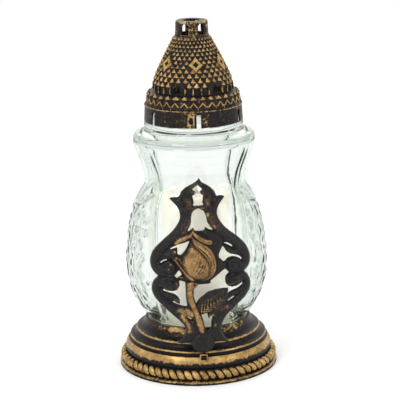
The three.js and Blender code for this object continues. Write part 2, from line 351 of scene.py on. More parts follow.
rope_r, rope_z = 63.3, 7.7        # centre of the rope's round
pedestal_outline = [              # radius, height and fillet
    (68.7, 0, 0.2), (68.7, 2.0, 0.7), (66.4, 3.1, 0.8), (64.6, 3.4, 0.5), (63.2, 7.6, 0.5),
    (62.2, 12.4, 0.4), (63.3, 13.3, 0.8), (63.6, 15.2, 2.5), (62.9, 19.4, 2.5), (60.9, 22.7, 0.8),
    (58.8, 23.3, 0.4), (58.5, 24.8, 0.4), (59.5, 25.5, 0.5), (59.1, 26.8, 0.6), (57.4, 27.4, 0.6),
    (55.2, 28.6, 1.6), (53.9, 31.0, 0.6), (54.1, 32.3, 0.5), (52.9, 33.3, 0.5), (50.2, 34.0, 0.9),
    (47.6, 35.6, 1.6), (46.2, 38.4, 1.0), (45.6, 41.6, 0.4), (45.3, 42.9, 0.3), (43.9, 42.9, 0.3),
    (43.9, 30.9, 0.4), (28.0, 30.9, 0.3), (28.0, 28.6, 0.3), (50.6, 28.6, 1.0), (53.0, 26.0, 1.0),
    (57.2, 23.6, 1.0), (60.0, 18.5, 1.0), (60.6, 13.0, 1.0), (61.4, 3.5, 1.0), (64.2, 0, 0.2)]


def pedestal_wear(r, z, angle):
    """Gold on the foot's edge, the wide band and the two ridges, and brushed over the collar's rim, with
    two painted highlights on the rim left and right of the front.
    """
    smear = 0.5 + 0.5 * np.sin(np.radians(angle * 3.1)) * np.sin(np.radians(angle * 7.3 + 40))
    # Painted highlights: the rim's gold is stronger in two patches left and right of the front.
    rim_painted_highlights = np.maximum(near(angle, -32, 22), near(angle, 35, 24))
    collar = near(z, 41.0, 7.0) * (0.16 + 0.20 * smear + 0.46 * rim_painted_highlights)
    lines = np.maximum.reduce([
        near(z, 2.3, 1.5) * 0.70, near(z, 26.2, 1.2) * 0.98, near(z, 32.6, 1.2) * 0.92, collar])
    band = np.clip(near(z, 21.6, 6.6) * 1.5, 0, 1.0) * (z < 22.7) * (0.80 + 0.20 * smear)
    hidden = (r < 44) | ((r < 62.1) & (z < 12)) | ((z < 28.7) & (r < 56))
    return np.where(hidden, 0, np.maximum(lines, band))


pedestal = turned("pedestal", filleted(pedestal_outline), 256)
wear(pedestal, pedestal_wear)
pedestal.data.materials.append(bronze)


def rope_strand():
    """One strand of the border: a slanting roll over the half-round, tapered at both ends."""
    rings, sides = 13, 12
    points, faces, rub = [], [], []
    slant = 5.6
    for i in range(rings):
        t = i / (rings - 1)
        over = math.radians(-88 + 186 * t)
        swell = math.sin(math.pi * min(1, max(0, 0.06 + 0.88 * t))) ** 0.45
        centre = Vector((-slant * (t - 0.5), -2.7 * math.cos(over), 2.7 * math.sin(over)))
        outward = Vector((0, -math.cos(over), math.sin(over)))
        for k in range(sides):
            around = 2 * math.pi * k / sides
            across, out = (math.copysign(abs(c) ** 0.8, c) for c in (math.cos(around), math.sin(around)))
            p = centre + Vector((3.1 * swell * across, 0, 0)) + outward * (2.15 * swell * out)
            points.append(tuple(p))
            high = max(0.0, out) ** 0.6 * (1.0 if 0.2 < t < 0.93 else 0.3)
            rub.append(high * (1.0 - 1.5 * max(0, 0.55 - t)))
    for i in range(rings - 1):
        for k in range(sides):
            a, b = i * sides + k, i * sides + (k + 1) % sides
            faces.append((a, b, b + sides, a + sides))
    faces.append(tuple(range(sides)))
    faces.append(tuple((rings - 1) * sides + k for k in range(sides)))
    return form("rope_strand", points, faces, rub)


strand_count = 62
strand_places = [(rope_r, 2 * math.pi * k / strand_count, rope_z, 0, 1, 1, 1)
                 for k in range(strand_count)]
rope = set_round("rope_border", rope_strand(), strand_places, bronze, sharp=60)
rope_rub = rope.data.attributes["rub"].data
rope_values = np.empty(len(rope_rub), dtype=np.float32)
rope_rub.foreach_get("value", rope_values)
strand_draw = np.random.default_rng(5)
strand_share = np.clip(strand_draw.normal(0.92, 0.16, strand_count), 0.35, 1.05).astype(np.float32)
rope_rub.foreach_set("value", rope_values * np.repeat(strand_share, len(rope_rub) // strand_count))


def layered(name, rings, rub):
    """A closed form from rings of points in front of each other, with one wear value for each ring."""
    count = len(rings[0])
    points = [p for ring in rings for p in ring]
    faces = [tuple(range(count)), tuple(range(len(points) - count, len(points)))]
    for a in range(0, len(points) - count, count):
        faces += [(a + k, a + (k + 1) % count, a + (k + 1) % count + count, a + k + count)
                  for k in range(count)]
    return form(name, points, faces, [value for value in rub for _ in range(count)])


def gusset():
    """A stiffening rib inside the pedestal, from the ledge down to the foot."""
    side = [(45, 29.0), (50, 29.0), (57.8, 23.4), (60.2, 17), (60.9, 5), (57, 5), (45, 24)]
    return layered("gusset", [[(x, -r, z) for r, z in side] for x in (-0.9, 0.9)], [0, 0])


gusset_places = [(0, math.radians(22.5 + 45 * k), 0, 0, 1, 1, 1) for k in range(8)]
gussets = set_round("pedestal_ribs", gusset(), gusset_places, bronze)


def snap_lug():
    """The little framed recess in the wide band, where the ornament's foot snaps in."""
    corners = [(-3.3, -2.6), (3.3, -2.6), (3.3, 2.9), (-3.3, 2.9)]
    rings = [[(x - math.copysign(inset, x), depth + 0.28 * z, z - math.copysign(inset, z))
              for x, z in corners] for inset, depth in ((0, 1.6), (0.1, -0.9), (0.9, -0.9), (1.1, 0.3))]
    return layered("snap_lug", rings, [0.2, 0.62, 0.58, 0.0])


snap = set_round("snap_lug_front", snap_lug(), [(61.9, 0, 22.6, 0, 1, 1, 1)], bronze)
pedestal = joined("pedestal", [pedestal, gussets, snap])
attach(pedestal, "lantern")
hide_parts("base_shell")
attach(rope, "lantern")

# ---------------------------------------------------------------------------
# Lid: one moulding of the pedestal's plastic that drops over the jar's neck.
# Its dome is covered in small pyramids, and its vents and chimney let the heat out.
# ---------------------------------------------------------------------------
lid_turn = math.radians(2)
around = 32                       # studs, chevrons and arcade bars in one turn
dome_z = [241.6, 246.0, 250.0, 253.6, 257.0, 260.5, 264.5, 268.5, 272.5, 276.0, 279.5, 283.0, 286.4]
dome_r = [33.8, 33.5, 32.5, 31.3, 29.9, 28.2, 26.2, 24.2, 22.2, 20.3, 18.4, 16.5, 14.9]
lid_outline = (
    [(42.0, 215.6, 0.5), (41.9, 218), (41.6, 224), (41.3, 228.5, 0.2), (41.8, 229.0, 0.3),
     (41.7, 229.9, 0.3), (40.8, 230.4, 0.2), (40.0, 231), (38.6, 237.0, 0.6), (38.1, 239.4, 0.5),
     (37.6, 240.2, 0.3), (35.4, 240.9, 0.3), (34.4, 241.4, 0.2)]
    + [(r, z, 1.0) for r, z in zip(dome_r, dome_z)]
    + [(14.5, 287.4, 0.5), (14.1, 288.6, 0.6), (13.9, 291), (13.6, 298.9, 0.4), (13.2, 299.8, 0.4),
       (12.6, 300, 0.2), (6.9, 300, 0.4), (6.5, 299.5, 0.2), (6.5, 298.7, 0.3), (11.9, 298.3, 0.6),
       (12.3, 290), (12.8, 286.4, 1), (18.0, 276), (22.0, 268), (26.0, 260.4), (29.0, 254), (31.0, 248),
       (32.2, 243.6, 0.6), (36.3, 238.6, 0.8), (38.6, 230, 0.8), (39.6, 227.6, 0.4), (40.3, 226.9, 0.3),
       (40.9, 215.6, 0.3)])


def dome_at(z):
    """The dome's radius and lean at a height."""
    slope = (np.interp(z + 1, dome_z, dome_r) - np.interp(z - 1, dome_z, dome_r)) / 2
    return float(np.interp(z, dome_z, dome_r)), math.atan(slope)


def prism(name, outline, near_face, far_face):
    """A block of the given (x, height) outline between two depths in front of the axis."""
    return layered(name, [[(x, -d, z) for x, z in outline] for d in (near_face, far_face)], [0, 0])


def sixfold(start, piece, name):
    """Six copies of a piece round the lid, from a start angle in degrees."""
    places = [(0, lid_turn + math.radians(start + 60 * k), 0, 0, 1, 1, 1) for k in range(6)]
    return set_round(name, piece, places, bronze)


def drilled(piece, cutter):
    """Cuts the cutter out of a piece and keeps the result as a plain mesh."""
    cutting = piece.modifiers.new("cutting", "BOOLEAN")
    cutting.operation = "DIFFERENCE"
    cutting.solver = "EXACT"
    cutting.object = cutter
    mesh = baked(piece)
    name = piece.name
    bpy.data.objects.remove(piece)
    bpy.data.objects.remove(cutter)
    mesh.materials.clear()
    return linked(name, mesh, 30)


cuts = joined("lid_cuts", [
    sixfold(0, prism("slot", [(-1.9, 210), (1.9, 210), (1.9, 226.4), (-1.9, 226.4)], 36, 46), "slots"),
    sixfold(30, prism("window", [(-3.1, 288.7), (3.1, 288.7), (3.1, 296.2), (1.6, 298.0), (-1.6, 298.0),
                                 (-3.1, 296.2)], 8, 18), "windows"),
    sixfold(30, prism("vent", [(-3.5, 242.6), (3.5, 242.6), (3.5, 247.0), (0, 250.4), (-3.5, 247.0)],
                      27, 40), "vents"),
])
lid = turned("lid", filleted(lid_outline), 216)
lid = drilled(lid, cuts)


def lid_wear(r, z, angle):
    """Gold on the chimney's rim and the line above the skirt, and smeared beside the front slot."""
    streak = 0.5 + 0.5 * np.sin(np.radians(angle * 5)) * np.sin(np.radians(angle * 9 + 25))
    chimney = np.where(z > 298.6, 0.50, np.where(z > 287.0, 0.22 + 0.20 * streak, 0.34))
    dome = np.where(z > 285.2, chimney, 0.12)
    beside = near(angle, 9, 13) * near(z, 222, 16) * 0.52
    skirt = np.maximum.reduce([near(z, 229.5, 0.9) * 0.66, 0.08 + 0.22 * streak, beside])
    band = np.where(z > 239.6, 0.34 * near(z, 240.2, 0.7), 0.22)
    return np.where(z > 242.2, dome, np.where(z > 230.6, band, skirt)) * (r > 10)


lid.data.materials.append(bronze)
wear(lid, lid_wear)


def stud():
    """A pyramid on a diamond base, whose tip and upper faces carry the gold and whose lower faces are left
    dark as painted shade.
    """
    upper = [(-1, 0, 0.04), (0, -1, 0.02), (1, 0, 0.04)]
    lower = [(-1, 0, -0.04), (0, -0.98, -0.1), (1, 0, -0.04)]
    back = [(-1, 0.5, 0), (0, 0.5, 1), (1, 0.5, 0), (0, 0.5, -1)]
    points = [(0, 0, 1)] + upper + lower + [(0, 0, -1)] + back
    faces = [(0, 1, 2), (0, 2, 3), (1, 4, 5, 2), (2, 5, 6, 3), (7, 5, 4), (7, 6, 5), (8, 4, 1),
             (8, 1, 0, 9), (9, 0, 3, 10), (10, 3, 6), (10, 6, 7, 11), (11, 7, 4, 8),
             (8, 9, 10, 11)]
    # Gold on the tip and the upper faces, little on the lower faces, which are left dark as painted shade.
    return form("stud", points, faces, [0.52, 0.22, 1.0, 0.22, 0.0, 0.26, 0.0, 0.0, 0, 0, 0, 0])


def close_to(angle, start, reach):
    """True where an angle is within reach of the start, or of one of its sixty-degree repeats."""
    off = (math.degrees(angle) - start + 30) % 60 - 30
    return abs(off) < reach


stud_rows = [248.0, 251.9, 255.7, 259.4, 262.9, 266.2, 269.5, 272.7, 275.8, 278.9, 281.9, 284.7]
diamond_z, diamond_wide, diamond_tall = 265.6, 7.2, 8.0
stud_places = []
for row, z in enumerate(stud_rows):
    r, lean = dome_at(z)
    tall = (stud_rows[min(row + 1, 11)] - stud_rows[max(row - 1, 0)]) / (2 if 0 < row < 11 else 1)
    wide = math.pi * r / around
    for k in range(around):
        angle = 2 * math.pi * (k + 0.5 * (row % 2)) / around
        across = 1 - abs(z - diamond_z) / (diamond_tall + 0.4)
        if across > 0 and close_to(angle, 0, math.degrees(diamond_wide * across / r) + 1.2):
            continue
        if row == 0 and close_to(angle, 30, 8):
            continue
        stud_places.append((r - 0.1, angle + lid_turn, z, lean, wide * 0.98, tall * 0.98, 1.25))
studs = set_round("studs", stud(), stud_places, bronze, sharp=10)

shoulder_places = [(38.3, 2 * math.pi * (k + 0.5) / around + lid_turn, 238.6, -0.28, 3.6, 2.8, 1.4)
                   for k in range(around)]
shoulder_studs = set_round("shoulder_studs", stud(), shoulder_places, bronze, sharp=10)


def diamond():
    """A framed diamond with hollow sides and a sunk middle, bent to the dome."""
    rings = []
    for size, depth in ((1.0, 1.2), (0.98, -0.3), (0.84, -1.35), (0.42, -1.25), (0.30, -0.3)):
        ring = []
        for c, s in circle(1, 15):
            x = math.copysign(abs(c) ** 2.5, c) * diamond_wide * size
            z = math.copysign(abs(s) ** 2.5, s) * diamond_tall * size
            ring.append((x, depth + x * x / 52, z))
        rings.append(ring)
    return layered("diamond", rings, [0.1, 0.45, 0.92, 0.80, 0.1])


diamond_r, diamond_lean = dome_at(diamond_z)
diamonds = set_round(
    "diamonds", diamond(),
    [(diamond_r, lid_turn + math.radians(60 * k), diamond_z, diamond_lean, 1, 1, 1) for k in range(6)],
    bronze, sharp=40)


def chevron():
    """A raised gable over each panel of the band."""
    outer, inner = [(-3.9, -2.5), (0, 2.4), (3.9, -2.5)], [(2.6, -2.5), (0, 0.5), (-2.6, -2.5)]
    outline = outer + inner
    crown = [(-3.6, -2.4), (0, 2.0), (3.6, -2.4), (2.8, -2.4), (0, 0.8), (-2.8, -2.4)]
    rings = [[(x, 0.9 + x * x / 80, z) for x, z in outline], [(x, x * x / 80, z) for x, z in outline],
             [(x, -0.8 + x * x / 80, z) for x, z in crown]]
    return layered("chevron", rings, [0, 0.3, 0.95])


band_places = [(39.3, 2 * math.pi * (k + 0.5) / around + lid_turn, 234.8, -0.19, 0.95, 0.92, 1)
               for k in range(around)]
chevrons = set_round("chevrons", chevron(), band_places, bronze, sharp=30)


def bar(wide, low, high, proud, worn):
    """A thin upright rib with a chamfered front."""
    flat = [(-wide, low), (wide, low), (wide, high), (-wide, high)]
    front = [(-wide * 0.4, low), (wide * 0.4, low), (wide * 0.4, high), (-wide * 0.4, high)]
    rings = [[(x, 0.8, z) for x, z in flat], [(x, 0, z) for x, z in flat],
             [(x, -proud, z) for x, z in front]]
    return layered("bar", rings, [0, 0.2, worn])


panel_bars = set_round(
    "panel_bars", bar(0.45, -1.6, 1.7, 0.5, 0.5),
    [(39.9, 2 * math.pi * k / around + lid_turn, 231.9, -0.19, 1, 1, 1) for k in range(around)], bronze)
arcade_places = []
for k in range(around):
    angle = 2 * math.pi * (k + 0.5) / around
    if not close_to(angle, 30, 6.5):
        arcade_places.append((33.6, angle + lid_turn, 244.8, -0.03, 1, 1, 1))
arcade = set_round("arcade_bars", bar(0.95, -2.9, 2.6, 1.3, 0.46), arcade_places, bronze)


def keyhole_lug():
    """A raised tab beside the front slot, with a small arched recess."""
    corners = [(-2.9, -6.2), (2.9, -6.2), (2.9, 6.4), (-2.9, 6.4)]
    rings = [[(x * size, depth + x * x / 84, z * size) for x, z in corners]
             for size, depth in ((1, 0.8), (1, -0.5), (0.94, -0.75))]
    tab = layered("tab", rings, [0.2, 0.5, 0.54])
    recess = [(1.7, -2.6)] + circle(1.7, 30, 181, 1.2) + [(-1.7, -2.6)]
    rings = [[(x, depth, z) for x, z in recess] for depth in (-0.4, -0.86)]
    return joined("keyhole_lug", [tab, layered("keyhole", rings, [0, 0])])


lug = set_round("keyhole_lug_front", keyhole_lug(), [(41.7, lid_turn - 0.155, 222.0, -0.06, 1, 1, 1)],
                bronze)
lid = joined("lid", [lid, studs, shoulder_studs, diamonds, chevrons, panel_bars, arcade, lug])
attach(lid, "lid")
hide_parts("lid_shell")

# ---------------------------------------------------------------------------
# Jar: pressed soda-lime glass with a pale green tint. Four flutes part its smooth
# front and back from side panels pressed with leaves; its heel is bonded below.
# ---------------------------------------------------------------------------
glass_wall = 3.2
jar_side = [(45.0, 45.8), (49.5, 52), (54.3, 61), (59, 73), (61.1, 90), (59.9, 111), (56.2, 132),
            (50.7, 149), (44.8, 158.8), (43.2, 164.5), (45, 176), (49, 187), (52.1, 196.5),
            (51.8, 202.6)]


def smooth_curve(corners, steps):
    """Points on a curve that passes through the corners."""
    rows = [corners[0]] + list(corners) + [corners[-1]]
    made = []
    for a, b, c, d in zip(rows, rows[1:], rows[2:], rows[3:]):
        a, b, c, d = (np.array(p, dtype=float) for p in (a, b, c, d))
        for t in np.linspace(0, 1, steps, endpoint=False):
            made.append(tuple(0.5 * (2 * b + (c - a) * t + (2 * a - 5 * b + 4 * c - d) * t * t
                                     + (3 * b - a - 3 * c + d) * t ** 3)))
    return made + [tuple(corners[-1])]


side = np.array(smooth_curve(jar_side, 11))
along = np.gradient(side, axis=0)
along /= np.linalg.norm(along, axis=1)[:, None]
inside = (side - glass_wall * np.stack([along[:, 1], -along[:, 0]], 1))[:-6:3][::-1]
jar_outline = (
    filleted([(0, 33.2, 0), (30, 32.7, 2), (36, 31.2, 1), (40, 31.2, 2), (42.2, 33.6, 2),
              (42.2, 43.4, 0.4), (44.2, 44.2, 0.6), (44.9, 45.2, 0)])[5:-5]
    + [tuple(p) for p in side]
    + filleted([(51.8, 202.6, 0), (50.4, 205.0, 1.6), (46, 206.9, 2), (42.6, 208.0, 1),
                (41.8, 209.6, 1), (42.7, 212.6, 1.6), (41.9, 215.0, 1), (39.0, 215.2, 0.4),
                (39.0, 226.2, 0.8), (37.4, 226.5, 1.4), (35.8, 226.0, 0.6), (35.8, 212, 3),
                (38.5, 207, 3), (44.5, 203.4, 3), (47.4, 200.0, 0)])[1:-1]
    + [tuple(p) for p in inside]
    + [(38.6, 41), (38.0, 38.4), (35.8, 36.6), (33, 36.2), (0, 36.2)])
jar = turned("jar", jar_outline, 320, sharp=60)
leaf_seed = 11


def jar_relief(x, y, z):
    """How far the pressed pattern stands out of the jar's side, in millimetres."""
    angle = np.degrees(np.arctan2(x, -y))
    from_front = np.where(np.abs(angle) > 90, 180 - np.abs(angle), np.abs(angle))
    r = np.hypot(x, y)
    rib_at = np.interp(z, [50, 90, 125, 163, 200], [37, 38.5, 41, 46.5, 50.5])
    off = np.radians(from_front - rib_at) * r
    strength = np.interp(z, [52, 70, 160, 190, 199], [0.15, 0.75, 1.25, 1.1, 0])
    lift = strength * (np.exp(-(off / 1.7) ** 2) - 0.55 * np.exp(-((off - 4.6) / 1.9) ** 2))
    drape = 146.5 + 15 * ((from_front - 90) / 44) ** 2
    in_side = 1 / (1 + np.exp(-(off - 4.5) / 0.7))
    edge = z - drape
    lift += in_side * (0.85 * np.exp(-(edge / 1.6) ** 2) - 0.45 / (1 + np.exp(edge / 1.2)) * (z > 56))
    ripple = (1 - in_side) * np.clip((z - 128) / 20, 0, 1) * np.clip((198 - z) / 6, 0, 1)
    ripple *= np.clip((rib_at - from_front - 6) / 8, 0, 1)
    lift += 0.03 * ripple * np.sin(2 * np.pi * z / 8.5)
    leaves = np.zeros_like(lift)
    draw = np.random.default_rng(leaf_seed)
    for side_angle in (-90, 90):
        for level in np.arange(60, 142, 7.4):
            for k in range(6):
                centre = side_angle + (k - 2.5) * 13.5 + draw.uniform(-3.5, 3.5)
                height = level + draw.uniform(-2.5, 2.5)
                turn = math.radians(draw.choice([-1, 1]) * draw.uniform(25, 75))
                size = draw.uniform(4.2, 6.4)
                across = np.radians((angle - centre + 180) % 360 - 180) * r
                up = z - height
                u = (across * math.sin(turn) + up * math.cos(turn)) / size
                v = (across * math.cos(turn) - up * math.sin(turn)) / (size * 0.46)
                cover = np.clip(1 - u * u - np.abs(v) * (1 + 0.5 * np.clip(u, -1, 1)), 0, 1)
                leaf = 1.1 * cover ** 0.5 - 0.5 * np.exp(-(v / 0.16) ** 2) * (cover > 0)
                leaves = np.maximum(leaves, leaf)
    lift += leaves * in_side * np.clip((drape - z) / 5, 0, 1) * np.clip((z - 54) / 4, 0, 1)
    return lift


jar_count = len(jar.data.vertices)
place = np.empty(jar_count * 3)
jar.data.vertices.foreach_get("co", place)
place = place.reshape(-1, 3)
px, py, pz = place.T / MM
outer_r = np.interp(pz, side[:, 1], side[:, 0])
is_side = (pz > 49) & (pz < 200) & (np.abs(np.hypot(px, py) - outer_r) < 0.6)
grow = np.where(is_side, 1 + jar_relief(px, py, pz) / np.maximum(np.hypot(px, py), 1), 1)
place[:, 0] *= grow
place[:, 1] *= grow
jar.data.vertices.foreach_set("co", place.ravel())


def jar_painted_crease_shade(x, y, z):
    """How steep the pressed pattern is, where the glass is painted a darker green as painted shade for the
    dark lines that light makes in it.
    """
    angle = np.arctan2(x, -y)
    r = np.hypot(x, y)
    step = 0.6
    turned_x, turned_y = r * np.sin(angle + step / r), -r * np.cos(angle + step / r)
    here = jar_relief(x, y, z)
    around_jar = np.abs(jar_relief(turned_x, turned_y, z) - here) / step
    up_jar = np.abs(jar_relief(x, y, z + step) - here) / step
    from_front = np.abs(np.degrees(angle))
    faint_ring = 0.22 * near((z - 131 + 1.4 * np.cos(4 * angle)) % 8.5, 4, 1.1)
    faint_ring *= (z > 158) * (from_front < 32)
    return np.clip(np.maximum(1.5 * np.hypot(around_jar, up_jar) - 0.12, faint_ring), 0, 1)


# Painted shade: a darker green painted along the pattern's steep parts, as faint rings on the front, and as
# bands at the shoulder under the neck, at the heel and at the neck bead.
crease = np.where(is_side, jar_painted_crease_shade(px, py, np.clip(pz, 49, 199)), 0)
crease = np.maximum(crease, 0.9 * near(pz, 204.8, 2.6) * (np.hypot(px, py) > 46))
crease = np.maximum(crease, 0.75 * near(pz, 46.6, 5.0) * (np.hypot(px, py) > 43.5))
crease = np.maximum(crease, 0.5 * near(pz, 210.4, 1.6) * (np.hypot(px, py) > 40))
jar.data.attributes.new("crease", "FLOAT", "POINT").data.foreach_set("value", crease.astype(np.float32))


def clear_glass(name, tint, deep, absorb, density):
    """Clear glass that absorbs a little, with a darker green painted into its creases and where it is seen
    edge on, as painted shade.
    """
    made, tree, shader = new_material(name)
    painted_shade_attribute = add(tree, "ShaderNodeAttribute", attribute_name="crease")
    grazing = add(tree, "ShaderNodeLayerWeight", {"Blend": 0.30})
    painted_green_shade = maths(tree, "MAXIMUM", painted_shade_attribute.outputs["Fac"], grazing.outputs["Fresnel"])
    waves = noise(tree, 90, 2)
    feed(tree, shader, {
        "Base Color": blended(tree, painted_green_shade, tint, deep), "Metallic": 0.0, "IOR": 1.40,
        "Transmission Weight": 1.0, "Roughness": remapped(tree, waves, 0.0, 1.0, 0.0, 0.05),
        "Normal": bumped(tree, waves, 0.12, 0.001)})
    see_through = add(tree, "ShaderNodeBsdfTransparent", {"Color": (0.97, 0.98, 0.97, 1)})
    rays = add(tree, "ShaderNodeLightPath")
    mixed = add(tree, "ShaderNodeMixShader", {
        "Fac": rays.outputs["Is Shadow Ray"], 1: shader.outputs["BSDF"], 2: see_through.outputs["BSDF"]})
    depth = add(tree, "ShaderNodeVolumeAbsorption", {"Color": absorb, "Density": density})
    feed(tree, tree.nodes["Material Output"], {"Surface": mixed.outputs["Shader"],
                                               "Volume": depth.outputs["Volume"]})
    return made


# The deep green is painted shade, put into the creases and where the glass is seen edge on.
jar.data.materials.append(clear_glass(
    "jar_glass", tint=(0.915, 0.921, 0.911, 1), deep=(0.36, 0.48, 0.38, 1), absorb=(0.56, 0.76, 0.60, 1),
    density=20))
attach(jar, "lantern")
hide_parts("glass_jar_heel", "glass_jar_belly", "glass_jar_neck")

# ---------------------------------------------------------------------------
# Adhesive bead: amber hot-melt that bonds the jar's heel into the collar.
# ---------------------------------------------------------------------------


def soft_plastic(name, colour, low, high, roughness, soft, scale=220.0, bump=0.15, painted_glow=0.0):
    """A milky plastic, wax or adhesive: cloudy between two shades, with light going a little into it, and a
    painted glow of its own colour where one is given.
    """
    made, tree, shader = new_material(name)
    cloud = noise(tree, scale, 4)
    shades = [tuple(min(1, c * share) for c in colour) + (1,) for share in (low, high)]
    cloudy = toned(tree, cloud, *shades, 0.3, 0.7)
    feed(tree, shader, {
        "Base Color": cloudy, "Emission Color": cloudy, "Emission Strength": painted_glow,
        "Subsurface Weight": soft, "Subsurface Radius": (0.006, 0.004, 0.002), "Subsurface Scale": 1.0,
        "Roughness": remapped(tree, cloud, 0.0, 1.0, roughness * 0.8, roughness * 1.2),
        "Normal": bumped(tree, cloud, bump)})
    return made


glue = turned("jar_glue", filleted([(43.7, 34.2, 0.5), (43.7, 41.2, 1), (43.1, 42.0, 0.5),
                                    (42.4, 41.6, 0.3), (42.4, 34.4, 0.3)]), 160)
glue.data.materials.append(soft_plastic("hot_melt", (0.72, 0.56, 0.30), low=0.85, high=1.1,
                                        roughness=0.4, soft=0.4))
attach(glue, "lantern")
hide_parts("jar_glue_bead")

# ---------------------------------------------------------------------------
# Fuel insert: a milky plastic cup of solid fuel with a punched cap pressed over its
# rim. It stands on the jar's floor and lifts out through the neck when it is spent.
# ---------------------------------------------------------------------------
cup = turned("insert_cup", filleted([
    (0, 36.6, 0), (26.6, 36.6, 0.8), (28.1, 37.8, 0.8), (28.6, 60), (29.3, 144.0, 0.3),
    (29.4, 150, 0.3), (28.2, 150, 0.3), (27.0, 39.6, 0.8), (25.8, 37.8, 0.6), (0, 37.8, 0)])[5:-5], 128)
# The cup and its cap get a painted glow, an emission of their own colour, as if lit from within.
milky_plastic = soft_plastic("milky_plastic", (0.91, 0.84, 0.74), low=0.92, high=1.03, roughness=0.42,
                             soft=0.4, scale=90, painted_glow=0.26)
cup.data.materials.append(milky_plastic)
fuel = turned("insert_fuel", filleted([
    (3.1, 39.1, 0.3), (25.0, 39.1, 0.8), (26.8, 40.4, 0.6), (27.7, 139.9, 0.4), (25.6, 139.0, 1.5),
    (5, 139.1, 1.5), (2.1, 140.0, 0.4), (2.1, 44.8, 0.2), (3.1, 44.8, 0.2)]), 128)
fuel.data.materials.append(soft_plastic("solid_fuel", (0.80, 0.66, 0.42), low=0.90, high=1.06,
                                        roughness=0.42, soft=0.6, scale=120))


def holes_round(name, reach, radius, low, high, turn):
    """Six round cutters on a circle, from one height to another."""
    cutter = layered(name, [[(x, y, z) for x, y in circle(radius, 15)] for z in (low, high)], [0, 0])
    places = [(reach, turn + math.radians(60 * k), 0, 0, 1, 1, 1) for k in range(6)]
    return set_round(name, cutter, places, bronze)


cap = turned("insert_cap", filleted([
    (30.4, 145, 0.3), (30.4, 151.0, 0.8), (29.6, 151.7, 0.5), (24.0, 151.7, 0.5), (23.0, 150.8, 0.5),
    (3.9, 150.8, 0.2), (3.9, 150.0, 0.2), (23.4, 150.0, 0.5), (24.4, 150.3, 0.3), (29.7, 150.3, 0.2),
    (29.7, 145, 0.2)]), 128)
cap = drilled(cap, holes_round("air_holes", 14, 2, 148, 154, 0))
cap.data.materials.append(milky_plastic)
for piece, node, finish in ((cup, "insert_cup", "insert_plastic"), (cap, "insert_cap", "insert_plastic"),
                            (fuel, "insert_fuel", "solid_fuel")):
    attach(piece, "insert")
    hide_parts(node)

# ---------------------------------------------------------------------------
# Wick: twisted cotton held upright by a tin foot on the cup's floor and a tin
# collar crimped in the cap.
# ---------------------------------------------------------------------------


def twisted(name, radius, low, high, lobes, pitch):
    """An upright cord of twisted plies, flat at both ends."""
    sides, rows = 40, 180
    rings = []
    for i in range(rows + 1):
        z = low + (high - low) * i / rows
        ring = []
        for k in range(sides):
            angle = 2 * math.pi * k / sides
            ply = abs(math.cos(lobes / 2 * (angle - 2 * math.pi * z / pitch)))
            r = radius * (0.86 + 0.14 * ply)
            ring.append((r * math.cos(angle), r * math.sin(angle), z))
        rings.append(ring)
    return layered(name, rings, [0] * len(rings))


wick = twisted("wick", 1.8, 38.2, 160.2, 4, 14)
wick.data.shade_smooth()
wick_cotton = soft_plastic("wick_cotton", (0.80, 0.76, 0.66), low=0.86, high=1.05, roughness=0.95,
                           soft=0.1, scale=1400, bump=0.6)
wick.data.materials.append(wick_cotton)


def tin(name):
    """Bright rolled tinplate with fine rolling marks."""
    made, tree, shader = new_material(name)
    place_node = add(tree, "ShaderNodeTexCoord")
    rolled = add(tree, "ShaderNodeMapping", {"Scale": (1, 14, 1), "Vector": place_node.outputs["Object"]})
    marks = noise(tree, 160, 5, Vector=rolled.outputs["Vector"])
    feed(tree, shader, {
        "Base Color": toned(tree, marks, (0.42, 0.42, 0.43, 1), (0.62, 0.62, 0.61, 1)),
        "Metallic": 0.95, "Roughness": remapped(tree, marks, 0.0, 1.0, 0.24, 0.46),
        "Normal": bumped(tree, marks, 0.1, 0.0002)})
    return made


tinplate = tin("tinplate")
wick_foot = turned("wick_foot", filleted([
    (9, 38.1, 0.2), (9, 38.8, 0.2), (2.8, 38.8, 0.2), (2.8, 44.2, 0.2), (2.1, 44.2, 0.2),
    (2.1, 38.1, 0.2)]), 64)
wick_collar = turned("wick_collar", filleted([
    (3.5, 142, 0.2), (3.5, 151.1, 0.2), (6.5, 151.1, 0.2), (6.5, 151.8, 0.3), (3.0, 151.8, 0.3),
    (2.7, 154, 0.3), (2.1, 154, 0.1), (2.1, 142, 0.2)]), 64)
wick_foot.data.materials.append(tinplate)
wick_collar.data.materials.append(tinplate)
for piece, node, finish in ((wick, "wick", "wick_cotton"), (wick_foot, "wick_foot", "tinplate"),
                            (wick_collar, "wick_collar", "tinplate")):
    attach(piece, "insert")
    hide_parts(node)

# ---------------------------------------------------------------------------
# Heat shield: a pressed tin dish under the chimney, with a flue of six holes. It
# is gripped by the inside of the dome and keeps the flame off the plastic.
# ---------------------------------------------------------------------------
shield = turned("lid_heat_shield", filleted([
    (25.2, 262.4, 0.2), (25.0, 263.2, 0.2), (12.0, 266.2, 1.5), (6.0, 268.6, 0.3), (5.4, 268.0, 0.3),
    (11.8, 265.3, 1.5), (24.6, 262.3, 0.2)]), 160)
shield = drilled(shield, holes_round("flue_holes", 17, 2.6, 258, 272, lid_turn))
shield.data.materials.append(tinplate)
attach(shield, "lid")
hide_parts("lid_heat_shield")

# ---------------------------------------------------------------------------
# Ornament frame: one openwork moulding of scrolls in near-black plastic, bent to the
# jar and plugged into the pedestal by a tang. A little gold is left on its high parts.
# ---------------------------------------------------------------------------
plate_thickness = 2.6
raised_thickness = 1.4            # plates of the stem and the leaf, which lie on the frame
bud_thickness = 1.6
raised_stand_off = plate_thickness + 0.3
plate_bend = 80                   # radius that the plates are bent to, side to side
plate_grain = 0.00045             # size of the cells that the ornament's forms are made from, in metres


